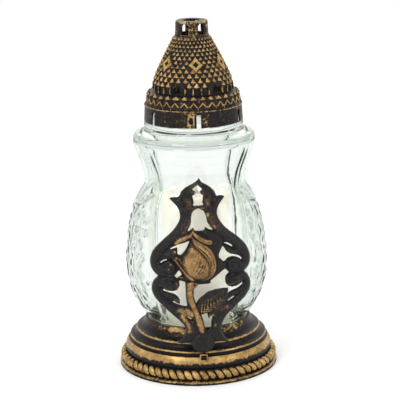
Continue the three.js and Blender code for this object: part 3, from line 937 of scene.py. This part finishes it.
def edge_distance(points, line, closed=False):
    """The distance of each point from a line of points."""
    ends = np.array(line if not closed else list(line) + [line[0]], dtype=float)
    nearest = np.full(len(points), 1e9)
    for a, b in zip(ends[:-1], ends[1:]):
        along_line = b - a
        length = max(float(along_line @ along_line), 1e-9)
        t = np.clip((points - a) @ along_line / length, 0, 1)
        nearest = np.minimum(nearest, np.linalg.norm(points - a - t[:, None] * along_line, axis=1))
    return nearest


def within(points, line):
    """True for the points inside a closed line."""
    x, z = points.T
    found = np.zeros(len(points), dtype=bool)
    for (ax, az), (bx, bz) in zip(line, line[1:] + line[:1]):
        if az != bz:
            crosses = ((az > z) != (bz > z)) & (x < (bx - ax) * (z - az) / (bz - az) + ax)
            found ^= crosses
    return found


def dome(distance, width):
    """A half-round profile: nothing at an edge, one from the given width inwards."""
    t = np.clip(1 - distance / width, 0, 1)
    return np.sqrt(1 - t * t)


def ridge(points, line, width, height):
    """A height along a line of points that fades out at about its width."""
    return height * np.exp(-(edge_distance(points, line) / width) ** 2)


def groove(points, line, width, depth):
    """A rounded groove along a line of points."""
    return ridge(points, line, width, -depth)


def spiral(x, z, start, turns, outer, inner, steps=26):
    """Points of a spiral that winds inwards from a start angle in degrees."""
    made = []
    for k in range(steps + 1):
        t = k / steps
        angle = math.radians(start) + 2 * math.pi * turns * t
        r = outer + (inner - outer) * t
        made.append((x + r * math.cos(angle), z + r * math.sin(angle)))
    return made


def ribbon(line, width):
    """A thin closed outline along a line of points, pointed at both ends."""
    line = [np.array(p, dtype=float) for p in line]
    sides = ([], [])
    for k, p in enumerate(line):
        step = line[min(k + 1, len(line) - 1)] - line[max(k - 1, 0)]
        normal = np.array([-step[1], step[0]]) / np.linalg.norm(step)
        half = 0.5 * width * (1 if 0 < k < len(line) - 1 else 0.3)
        sides[0].append(tuple(p + normal * half))
        sides[1].append(tuple(p - normal * half))
    return sides[0] + sides[1][::-1]


def cut_plate(name, outline, holes, thickness):
    """A flat plate with its holes, in even cells, and its points' x, height and depth in millimetres."""
    curve = bpy.data.curves.new(name, "CURVE")
    curve.dimensions = "2D"
    curve.fill_mode = "BOTH"
    curve.extrude = thickness / 2 * MM
    for line in [outline] + list(holes):
        spline = curve.splines.new("POLY")
        spline.points.add(len(line) - 1)
        spline.points.foreach_set("co", [v for x, z in line for v in (x * MM, z * MM, 0, 1)])
        spline.use_cyclic_u = True
    drawn = bpy.data.objects.new(name, curve)
    scene.collection.objects.link(drawn)
    cells = drawn.modifiers.new("cells", "REMESH")
    cells.mode = "VOXEL"
    cells.voxel_size = plate_grain
    mesh = baked(drawn)
    bpy.data.objects.remove(drawn)
    place = np.empty(len(mesh.vertices) * 3)
    mesh.vertices.foreach_get("co", place)
    place = place.reshape(-1, 3) / MM
    place[:, 2] += thickness / 2
    return mesh, place


def laid_round_jar(name, mesh, place, rise, rub, thickness, stand_off, finish):
    """Lifts a plate's front by its relief and bends it to the jar, with its back on the glass side."""
    front = np.clip(place[:, 2] / thickness * 2 - 1, 0, 1)
    x, z = place[:, 0], place[:, 1]
    depth = place[:, 2] + front * rise + stand_off
    # The back is 62 mm from the axis at the belly, 50.8 mm at the waist and 60 mm at the foot.
    above = np.clip((z - 105) / 71, 0, 1)
    below = 1 - np.clip((z - 45) / 50, 0, 1)
    back = 62 - 11.2 * above * above * (3 - 2 * above) - 2 * below * below * (3 - 2 * below)
    sag = plate_bend - np.sqrt(plate_bend ** 2 - x * x)
    mesh.vertices.foreach_set("co", (np.stack([x, sag - back - depth, z], 1) * MM).ravel())
    held = np.clip(rub, 0, 1).astype(np.float32)
    mesh.attributes.new("rub", "FLOAT", "POINT").data.foreach_set("value", held)
    piece = linked(name, mesh, 180)
    eased = piece.modifiers.new("eased", "SMOOTH")
    eased.iterations = 2
    eased.factor = 0.5
    made = baked(piece)
    bpy.data.objects.remove(piece)
    made.materials.clear()
    made.materials.append(finish)
    return linked(name, made, 180)


# The ornament's outlines, holes and lines are (x, height) seen from the front, in millimetres.
frame_outline = (
    smooth_curve([(-0.4, 176.2), (-2.3, 173.8), (-6.3, 171.2), (-11.2, 168.6), (-14.9, 165.4),
                  (-17.1, 161.2)], 4)
    + smooth_curve([(-19.2, 160.2), (-22.5, 160.2), (-25.2, 159.2)], 3)
    + smooth_curve([(-21.3, 155.4), (-18.4, 151.6), (-17.1, 147.5), (-17.0, 143.9), (-18.2, 140.3),
                    (-20.8, 136.1), (-25.1, 131.1), (-30.1, 126.6), (-35.6, 121.2), (-39.9, 115.8),
                    (-42.2, 109.9), (-42.6, 104.8), (-41.5, 100.5), (-39.2, 97.0), (-36.2, 94.4)], 3)
    + smooth_curve([(-38.8, 91.6), (-40.9, 88.1), (-41.9, 84.0), (-41.7, 80.5), (-40.1, 76.2),
                    (-36.9, 72.0), (-32.1, 67.2), (-27.4, 62.9), (-22.7, 58.6), (-18.5, 54.8),
                    (-15.5, 50.9), (-14.7, 46.9), (-15.7, 42.9), (-18.2, 39.4), (-21.9, 36.4)], 3)
    + [(-18.6, 35.4), (-14.6, 36.2)]
    + [(-0.2 - 10 * math.cos(math.radians(a)), 36.6 - 9.4 * math.sin(math.radians(a)))
       for a in range(0, 181, 12)]
    + [(14.6, 36.6), (18.2, 35.8)]
    + smooth_curve([(21.9, 36.0), (17.8, 40.5), (15.6, 45.3), (15.7, 50.7), (17.9, 55.7), (21.1, 60.0),
                    (26.3, 64.5), (31.4, 69.0), (36.7, 73.3), (40.0, 78.5), (41.3, 82.7), (41.1, 87.3),
                    (38.8, 92.4), (35.6, 95.9)], 3)
    + smooth_curve([(38.2, 98.2), (40.6, 101.6), (41.3, 106.5), (40.4, 112.4), (37.3, 118.6),
                    (32.3, 124.4), (25.4, 130.3), (20.6, 134.5), (17.0, 139.0), (14.6, 143.4),
                    (13.9, 147.6), (14.9, 151.7), (16.9, 155.1), (20.8, 159.6)], 3)
    + smooth_curve([(18.2, 160.8), (15.6, 160.8), (13.9, 160.4), (12.9, 163.4), (10.5, 166.7),
                    (7.0, 169.6), (1.8, 172.6)], 3))
frame_holes = [
    [(-1.9, 170.6), (-5.9, 167.1), (-5.6, 165.9), (-4.3, 165.6), (-3.8, 164.1), (-4.5, 162.4),
     (-6.3, 161.7), (-5.6, 159.2), (-5.1, 156.3), (-6.1, 153.3), (3.0, 153.5), (1.8, 156.1),
     (2.3, 159.0), (2.8, 161.8), (0.9, 162.8), (0.2, 164.6), (1.1, 166.0), (2.2, 166.4),
     (1.7, 167.3)],
    smooth_curve([(-1.6, 151.4), (-5.0, 150.0), (-6.9, 147.4), (-7.7, 144.3), (-8.0, 140.3),
                  (-9.4, 136.2), (-12.1, 132.4)], 2)
    + [(-9.6, 133.2), (-6.4, 135.8), (-5.2, 133.2), (-2.4, 133.0), (2.4, 133.2), (3.6, 136.0),
       (6.3, 134.1), (11.1, 132.8)]
    + smooth_curve([(8.2, 135.5), (5.3, 139.9), (4.5, 144.7), (2.8, 149.0)], 2),
    [(-28.9, 115.8), (-24.5, 119.6), (-20.4, 121.6), (-14.0, 123.7), (-9.7, 125.5), (-11.1, 120.4),
     (-14.2, 116.7), (-17.1, 113.3), (-20.0, 113.6), (-19.9, 119.6), (-24.1, 118.3)],
    ribbon([(-34.9, 103.9), (-33.9, 106.1), (-32.0, 107.9), (-29.0, 109.1), (-25.3, 109.4)], 1.1),
    ribbon([(17.2, 122.1), (20.8, 121.7), (23.9, 119.9), (27.5, 116.9)], 1.4),
    [(17.7, 120.0), (15.6, 116.2), (14.3, 113.1), (14.4, 110.0), (18.6, 106.1), (20.5, 108.4),
     (22.6, 109.6), (26.2, 110.0), (30.0, 108.7), (32.4, 107.0), (34.3, 104.5), (33.6, 107.3),
     (31.2, 109.9), (28.0, 111.4), (24.0, 112.4), (20.8, 114.8), (18.8, 118.0)],
    [(-19.1, 100.6), (-16.7, 96.6), (-20.8, 93.1), (-23.1, 95.2)],
    [(-19.2, 91.7), (-14.4, 90.5), (-14.0, 83.3), (-13.9, 75.5), (-12.9, 68.4), (-17.7, 69.3),
     (-21.0, 70.2), (-24.4, 71.8), (-27.4, 74.6), (-24.0, 72.9), (-20.9, 71.2), (-18.9, 70.6),
     (-18.8, 74.1), (-20.5, 77.3), (-23.5, 79.4), (-27.7, 80.3), (-31.8, 81.5), (-33.9, 84.4),
     (-29.4, 82.1), (-24.7, 81.9), (-21.0, 83.1), (-18.8, 87.0)],
    [(-7.2, 84.0), (-4.0, 88.1), (5.8, 88.3), (6.4, 90.6), (12.1, 94.9), (19.1, 100.3), (22.7, 96.5),
     (20.0, 94.4), (19.1, 91.5), (19.5, 87.8), (21.4, 85.0), (25.1, 83.6), (29.6, 84.0), (32.9, 85.8),
     (35.0, 87.9), (33.9, 84.4), (29.9, 81.7), (25.1, 80.3), (20.8, 78.2), (19.4, 83.2), (10.7, 82.8),
     (4.5, 81.0), (-0.5, 77.4), (-4.2, 73.6), (-5.5, 70.6), (-7.4, 77.6)],
    ribbon([(20.6, 71.2), (22.6, 72.6), (25.4, 74.2), (28.0, 76.0)], 1.5),
    [(-14.2, 60.0), (-10.5, 59.1), (-8.4, 55.8), (-11.8, 57.7)],
    [(-1.3, 62.0), (3.4, 62.6), (3.9, 60.9), (4.3, 58.1), (5.7, 57.8), (6.5, 59.7), (8.1, 58.8),
     (7.0, 54.9), (6.6, 48.2), (3.4, 45.1), (1.6, 48.6), (-0.2, 55.3)],
]
frame_mesh, frame_place = cut_plate("frame_plate", frame_outline, frame_holes, plate_thickness)
flat = frame_place[:, :2]
edges = edge_distance(flat, frame_outline, closed=True)
for hole in frame_holes:
    edges = np.minimum(edges, edge_distance(flat, hole, closed=True))
rise = 2.5 * dome(edges, 3.6)
for x, z, start, turns, outer in ((-27.5, 102.2, 75, -1.4, 7.2), (26.6, 103.0, 100, 1.4, 7.2),
                                  (-26.6, 87.2, 140, -1.25, 5.6), (26.6, 89.4, 60, 1.25, 5.6)):
    off = np.hypot((flat[:, 0] - x) / outer, (flat[:, 1] - z) / (outer if outer > 6 else 4.6))
    rise = np.maximum(rise, (off < 1.02) * (1.1 + 3.0 * np.sqrt(np.clip(1 - off * off, 0, 1))))
    rise += groove(flat, spiral(x, z, start, turns, outer * 0.98, outer * 0.18), 0.75, 1.5)
for x, z, r in ((-5.9, 163.9, 2.2), (2.6, 164.4, 2.2), (-9.8, 156.6, 3.6), (5.9, 156.8, 3.6)):
    off = np.hypot(flat[:, 0] - x, flat[:, 1] - z) / r
    rise += (off < 1.2) * (1.5 * np.sqrt(np.clip(1 - off * off, 0, 1)))
    rise += groove(flat, spiral(x, z, 90, 1.1 if x > 0 else -1.1, r * 1.15, r * 0.25), 0.5, 1.1)
frame_grooves = [                 # a line, and the width and the depth of its groove
    ([(-2.6, 172.0), (-7.6, 168.9), (-11.6, 164.8), (-13.0, 160.2), (-12.2, 155.0)], 0.9, 1.3),
    ([(1.0, 170.6), (5.2, 168.2), (8.6, 164.8), (9.9, 160.2), (9.4, 155.4)], 0.9, 1.3),
    ([(-24.6, 159.0), (-20.4, 156.6), (-17.4, 152.6), (-13.2, 152.6)], 0.8, 1.2),
    ([(20.0, 159.6), (16.2, 156.4), (13.0, 152.8), (9.6, 153.4)], 0.8, 1.2),
    ([(-15.6, 159.6), (-14.2, 155.4), (-12.9, 153.3)], 0.7, 1.3),
    ([(12.2, 159.8), (10.6, 156.4), (9.5, 153.9)], 0.7, 1.3),
    ([(-12.6, 132.2), (-17.0, 127.6), (-22.8, 123.8), (-29.4, 117.2), (-34.2, 111.8), (-36.4, 106.4)],
     1.0, 1.5),
    ([(11.0, 132.6), (14.8, 129.4), (17.4, 125.8), (18.6, 122.4), (24.6, 118.9), (31.0, 113.8),
      (34.9, 108.2)], 1.0, 1.4),
    ([(-36.2, 94.4), (-31.0, 94.2), (-24.0, 93.6), (-20.6, 92.6)], 0.9, 1.9),
    ([(35.4, 96.0), (30.4, 95.4), (24.4, 95.8), (21.8, 95.4)], 0.9, 1.9),
    ([(-34.2, 84.6), (-35.0, 80.4), (-31.4, 75.6), (-27.4, 72.4), (-22.6, 69.6), (-15.0, 67.6)],
     1.0, 1.5),
    ([(35.2, 88.0), (36.0, 83.4), (33.0, 78.6), (28.2, 74.0), (20.6, 68.8), (13.6, 64.6)], 1.0, 1.4),
    ([(-24.8, 76.6), (-21.6, 74.8), (-19.6, 71.2)], 0.7, 1.0),
    ([(21.0, 76.4), (26.4, 78.8), (31.0, 79.6)], 0.7, 1.0),
    ([(-27.0, 115.4), (-23.0, 117.2), (-20.2, 115.0)], 0.7, 1.0),
    ([(19.0, 119.4), (22.6, 116.6), (28.6, 113.6)], 0.7, 1.0),
    ([(-16.6, 64.4), (-13.4, 60.6), (-11.0, 57.0), (-9.6, 50.0), (-8.8, 44.0)], 1.0, 1.3),
    ([(14.0, 62.6), (10.6, 58.0), (10.0, 50.0), (9.6, 44.4)], 0.9, 1.0),
    ([(-5.9, 41.4), (-5.9, 41.3)], 1.3, 3.0), ([(5.8, 41.2), (5.8, 41.1)], 1.3, 3.0),
    ([(-10.6, 37.4), (-8.0, 40.6), (-4.8, 43.6)], 0.8, 1.4),
    ([(10.4, 38.0), (7.8, 40.6), (4.0, 43.8)], 0.8, 1.4),
]
for line, width, depth in frame_grooves:
    rise += groove(flat, line, width, depth)
boss = np.hypot((flat[:, 0] + 0.2) / 10.4, (flat[:, 1] - 36.4) / 9.6)
rise = np.maximum(rise, 4.2 * np.sqrt(np.clip(1 - boss * boss, 0, 1)))
frame_rubs = [                    # a line, its width and how much gold is left along it
    ([(-10.0, 141.5), (-10.8, 136.5), (-14.2, 132.4)], 2.6, 0.34),
    ([(7.4, 144.6), (9.6, 139.6), (12.2, 135.2)], 3.0, 0.36),
    ([(-7.4, 148.6), (-4.4, 151.6), (1.6, 151.6)], 1.6, 0.30),
    ([(-9.6, 158.2), (-9.0, 155.6)], 2.6, 0.34),
    ([(5.6, 158.2), (6.4, 155.4)], 2.8, 0.36), ([(-5.9, 165.2), (-4.6, 164.2)], 1.6, 0.34),
    ([(2.0, 165.6), (2.8, 163.4)], 1.6, 0.34),
    ([(-6.4, 169.6), (-3.4, 171.6), (0.8, 171.4)], 1.6, 0.26), ([(5.7, 147.2), (5.5, 146.6)], 1.0, 0.7),
    ([(-22.4, 116.6), (-22.2, 116.3)], 1.3, 0.6), ([(-26.2, 105.9), (-26.1, 105.6)], 1.0, 0.5),
    ([(-27.8, 102.0), (-27.7, 101.8)], 1.0, 0.6),
    ([(-19.6, 65.6), (-14.1, 65.2), (-9.6, 63.4)], 2.4, 0.56),
    ([(-14.8, 62.2), (-11.6, 60.4), (-9.4, 61.6)], 2.0, 0.52),
    ([(-17.6, 59.8), (-13.7, 55.5), (-11.6, 50.4), (-11.2, 47.6)], 2.4, 0.52),
    ([(10.2, 51.8), (10.0, 51.2)], 1.1, 0.6),
    ([(-22.4, 75.4), (-20.6, 73.2)], 1.6, 0.36),
    ([(-21.4, 83.8), (-20.6, 86.8), (-21.6, 89.2)], 1.3, 0.40),
    ([(-31.5, 84.5), (-27.0, 84.4), (-23.6, 86.8)], 1.1, 0.24),
    ([(22.0, 86.4), (27.0, 87.6), (30.6, 87.8)], 1.3, 0.26),
    ([(12.0, 66.4), (17.0, 66.8), (21.0, 67.0)], 2.2, 0.28), ([(5.6, 60.0), (8.6, 61.0)], 1.2, 0.46),
    ([(22.0, 73.6), (26.0, 76.8)], 1.2, 0.26),
]
rub = np.full(len(flat), 0.10)
for line, width, amount in frame_rubs:
    rub += ridge(flat, line, width, amount)
sepal = [(-23.9, 122.2), (-20.5, 127.3), (-16.2, 129.3), (-10.2, 131.6), (-6.5, 135.4), (-5.4, 133.0),
         (-7.9, 128.4), (-12.7, 125.8), (-19.4, 122.6)]
on_sepal = within(flat, sepal)
sepal_edge = edge_distance(flat, sepal, closed=True)
rise = np.where(on_sepal, np.maximum(rise, 2.2 + 1.3 * dome(sepal_edge, 2.0)), rise)
rub += np.where(on_sepal, 0.18 + 0.42 * np.clip(sepal_edge / 1.6, 0, 1), 0)
dark_bronze = rubbed_plastic("dark_bronze_plastic", scale=420, breakup=1.3, threshold=0.50, smudge=0.75,
                             shine=0.24, dark=(0.004, 0.004, 0.0045, 1), gold=(0.38, 0.225, 0.085, 1))
ornament_frame = laid_round_jar("ornament_frame", frame_mesh, frame_place, rise, rub, plate_thickness, 0,
                                dark_bronze)
tang = prism("tang", [(-5, 30), (5, 30), (5, 33), (-5, 33)], 61.5, 51.2)
tang.data.materials.append(dark_bronze)
ornament_frame = joined("ornament_frame", [ornament_frame, tang])
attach(ornament_frame, "lantern")
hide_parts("ornament_frame")

# ---------------------------------------------------------------------------
# Rose: the bud of the same moulding, with a big front petal, folded petals round it
# and sepals below, rubbed all over with gold.
# ---------------------------------------------------------------------------
bud_outline = smooth_curve([
    (-6.4, 134.2), (-9.4, 126.6), (-12.6, 120.2), (-16.6, 114.4), (-20.6, 113.0), (-24.8, 112.4),
    (-21.4, 107.4), (-18.6, 103.2), (-15.4, 98.8), (-17.4, 96.2), (-20.6, 94.6), (-14.0, 93.6),
    (-8.6, 91.6), (-1.8, 90.6), (5.0, 89.4), (7.0, 89.6), (6.6, 92.4), (9.8, 96.4), (12.6, 102.4),
    (13.4, 110.1), (12.6, 117.5), (10.6, 124.0), (6.0, 130.0), (0.6, 133.0), (-3.4, 133.4)], 3)
bud_mesh, bud_place = cut_plate("rose_bud", bud_outline, [], bud_thickness)
flat = bud_place[:, :2]
outer_edge = edge_distance(flat, bud_outline, closed=True)
bulge = np.hypot((flat[:, 0] + 2.6) / 15.5, (flat[:, 1] - 108.5) / 21.5)
rise = 0.8 * dome(outer_edge, 1.6) + 3.6 * np.sqrt(np.clip(1 - bulge * bulge, 0, 1))
rub = 0.10 + 0.18 * np.clip(1 - bulge, 0, 1)
# Each petal's outline, its step over the form below, the width of its rounding, and the gold on its
# face and on its edge.
petals = [
    ([(-6.8, 133.4), (-2.1, 130.2), (3.3, 127.2), (8.4, 125.6), (8.0, 123.0), (3.4, 123.6),
      (-2.4, 126.6), (-6.6, 130.6), (-6.8, 133.4)], 1.5, 1.2, 0.45, 0.95),
    ([(-8.3, 129.4), (-2.8, 125.6), (4.2, 121.6), (9.4, 115.2), (11.6, 106.2), (9.8, 98.2), (3.6, 93.4),
      (-2, 93.0), (4.6, 98.4), (5.6, 108.0), (1.0, 116.6), (-5.6, 123.0), (-8.3, 129.4)], 1.3, 1.4, 0.55,
      0.85),
    ([(-8.1, 129.2), (-4.8, 124.9), (-0.6, 121.7), (4.6, 117.2), (7.8, 111.6), (8.8, 104.7),
      (7.0, 98.6), (3.4, 94.8), (5.2, 100.4), (5.4, 107.2), (2.6, 113.4), (-2.6, 118.8), (-6.6, 123.0),
      (-8.1, 129.2)],
     1.1, 1.0, 0.40, 0.95),
    ([(-8.6, 125.6), (-11.6, 119.0), (-15.4, 113.4), (-16.4, 107.4), (-15.2, 101.8), (-11.6, 97.2),
      (-6.6, 94.4), (-0.5, 93.4), (4.2, 95.6), (6.6, 100.2), (6.6, 106.0), (3.4, 112.2), (-2.0, 117.6),
      (-6.0, 121.4), (-8.6, 125.6)], 2.3, 5.0, 0.74, 0.50),
    ([(-24.8, 112.6), (-21.3, 109.4), (-18.0, 105.2), (-13.2, 99.2), (-8.0, 94.8), (-5.4, 92.6),
      (-9.4, 92.6), (-14.0, 97.0), (-18.8, 102.8), (-22.2, 107.6), (-24.8, 112.6)], 1.6, 1.2, 0.62, 0.86),
]
for corners, step, round_to, gold, gold_edge in petals:
    line = smooth_curve(corners, 4)[:-1]
    depth_in = np.where(within(flat, line), edge_distance(flat, line, closed=True), -1)
    rise += np.where(depth_in >= 0, step * dome(depth_in, round_to), 0)
    face = gold * np.clip(depth_in / 2.2, 0, 1)
    lip = gold_edge * np.exp(-((depth_in - 0.7) / 0.8) ** 2)
    rub = np.where(depth_in >= 0, np.maximum(face, lip), rub)
rise += groove(flat, [(-20.4, 111.6), (-17.4, 107.4), (-14.6, 101.8), (-10.6, 97.2)], 0.8, 1.2)
rise += ridge(flat, [(-22.2, 112.2), (-19.2, 110.4), (-16.9, 107.2)], 0.9, 0.9)
rub += ridge(flat, [(-21.6, 111.8), (-18.8, 110.0), (-17.1, 107.0)], 0.9, 0.5)
low_sepals = np.clip((94.0 - flat[:, 1]) / 1.6, 0, 1)
rub *= 1 - 0.75 * low_sepals
rub += ridge(flat, [(-18.6, 94.9), (-13.8, 93.6)], 0.8, 0.35)
rub -= 0.30 * np.exp(-(np.hypot(flat[:, 0] + 1.6, (flat[:, 1] - 103.5) * 0.6) / 5.0) ** 2)
streaks = edge_distance(flat, [(-8.6, 126), (-2.8, 124), (4, 116)])
combed = np.sin(flat[:, 0] * 5.2 + 0.05 * streaks ** 2) * np.sin(flat[:, 0] * 2.3 + 1.7)
rub += 0.16 * combed * np.clip((121 - flat[:, 1]) / 6, 0, 1)
gold_plastic = rubbed_plastic("gold_rubbed_plastic", scale=500, breakup=1.15, threshold=0.50, smudge=1.0,
                              gold=(0.36, 0.215, 0.085, 1))
rose = laid_round_jar("ornament_rose", bud_mesh, bud_place, rise, rub, bud_thickness,
                      raised_stand_off, gold_plastic)
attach(rose, "lantern")
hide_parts("ornament_rose")

# ---------------------------------------------------------------------------
# Stem: a rounded rod of the same moulding from the rose's knob to the foot.
# ---------------------------------------------------------------------------
stem_outline = smooth_curve([
    (-14.0, 91.4), (-13.9, 84.2), (-13.9, 76.5), (-11.2, 69.9), (-8.6, 63.2), (-6.4, 54.5),
    (-3.6, 46.4), (-0.6, 44.2), (1.4, 47.0), (0.2, 56.3), (-2.3, 63.1), (-5.4, 71.2), (-7.5, 77.8),
    (-7.7, 83.6), (-4.6, 87.4), (-3.4, 91.0), (-8.6, 92.4)], 4)
stem_mesh, stem_place = cut_plate("rose_stem", stem_outline, [], raised_thickness)
flat = stem_place[:, :2]
stem_edge = edge_distance(flat, stem_outline, closed=True)
rise = 3.0 * dome(stem_edge, 2.9)
rise += 1.1 * np.exp(-(np.hypot(flat[:, 0] + 9, flat[:, 1] - 88) / 3.4) ** 2)
rise += groove(flat, [(-6.8, 89.2), (-6.9, 89.0)], 0.9, 1.6)
rise += groove(flat, [(-12.2, 82.6), (-8.4, 83.2)], 0.8, 0.7)
rub = 0.10 + 0.55 * np.clip(stem_edge / 1.5, 0, 1)
rub -= 0.35 * np.clip((47.5 - flat[:, 1]) / 3, 0, 1)
rub -= 0.5 * np.exp(-(np.hypot(flat[:, 0] + 6.8, flat[:, 1] - 89.2) / 1.3) ** 2)
stem = laid_round_jar("ornament_stem", stem_mesh, stem_place, rise, rub, raised_thickness,
                      raised_stand_off, gold_plastic)
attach(stem, "lantern")
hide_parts("ornament_stem")

# ---------------------------------------------------------------------------
# Leaf: a serrated, veined leaf of the same moulding, dark with gold on its veins.
# ---------------------------------------------------------------------------
midrib = [(-4.6, 62.6), (-3.1, 64.1), (3.7, 69.7), (10.6, 74.5), (20.2, 79.4)]
leaf_edge_line = smooth_curve([
    (-5.2, 62.2), (-6.4, 67.2), (-4.4, 73.6), (-0.5, 77.6), (4.5, 81.0), (10.7, 82.9), (20.6, 83.6),
    (20.8, 78.6), (20.4, 73.6), (16.8, 70.2), (13.0, 67.4), (6.8, 65.0), (0.6, 62.2), (-2.6, 61.6)], 6)
leaf_outline = []
for k, (x, z) in enumerate(leaf_edge_line):
    out = np.array([x - 7.0, z - 72.0])
    tooth = (0.55, 0.25, -0.15)[k % 3] if 6 < k < 70 else 0
    leaf_outline.append(tuple(np.array([x, z]) + tooth * out / np.linalg.norm(out)))
leaf_mesh, leaf_place = cut_plate("rose_leaf", leaf_outline, [], raised_thickness)
flat = leaf_place[:, :2]
rise = 1.2 * dome(edge_distance(flat, leaf_outline, closed=True), 2.4)
rise += groove(flat, midrib, 0.7, 0.9)
rub = np.full(len(flat), 0.17)
across_leaf = edge_distance(flat, midrib)
for k in range(8):
    t = 0.10 + 0.105 * k
    start = np.array(midrib[0]) + t * (np.array(midrib[-1]) - np.array(midrib[0])) + np.array([0.6, 0.4])
    for reach in (np.array([0.9, 8.8]), np.array([9.4, 0.4])):
        vein = [tuple(start), tuple(start + reach * (1.0 - 0.45 * t))]
        rise += ridge(flat, vein, 0.55, 0.8)
        strength = np.clip(0.56 - 0.46 * t, 0, 1) * np.clip(1.2 - across_leaf / 9, 0, 1)
        rub += ridge(flat, vein, 0.5, strength)
leaf = laid_round_jar("ornament_leaf", leaf_mesh, leaf_place, rise, rub, raised_thickness,
                      raised_stand_off, dark_bronze)
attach(leaf, "lantern")
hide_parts("ornament_leaf")

# ---------------------------------------------------------------------------
# Floor and lights: a plain pale sweep under a soft studio light.
# ---------------------------------------------------------------------------
floor_mesh = bpy.data.meshes.new("floor")
floor_mesh.from_pydata([(-2, -2, 0), (2, -2, 0), (2, 2, 0), (-2, 2, 0)], [], [(0, 1, 2, 3)])
floor = bpy.data.objects.new("floor", floor_mesh)
scene.collection.objects.link(floor)
floor.location.z = -0.0002
floor_finish, floor_tree, floor_shader = new_material("pale_floor")
feed(floor_tree, floor_shader, {"Base Color": (0.94, 0.94, 0.94, 1), "Roughness": 0.8})
floor_mesh.materials.append(floor_finish)

world = bpy.data.worlds.new("studio")
world.use_nodes = True
feed(world.node_tree, world.node_tree.nodes["Background"], {"Color": (1, 1, 1, 1), "Strength": 1.0})
scene.world = world


def softbox(name, place, size, power):
    """A rectangular light that faces the middle of the lantern."""
    data = bpy.data.lights.new(name, "AREA")
    data.shape = "RECTANGLE"
    data.size, data.size_y = size
    data.energy = power
    lamp = bpy.data.objects.new(name, data)
    scene.collection.objects.link(lamp)
    lamp.location = place
    lamp.rotation_euler = (Vector((0, 0, 0.15)) - Vector(place)).to_track_quat("-Z", "Y").to_euler()


softbox("key", (-0.9, -1.1, 1.3), (0.7, 0.7), 13)
softbox("fill", (1.2, -0.9, 0.7), (0.5, 0.9), 4)
softbox("back", (0.2, 1.4, 1.1), (1.4, 0.8), 5)
scene.view_settings.view_transform = "Standard"
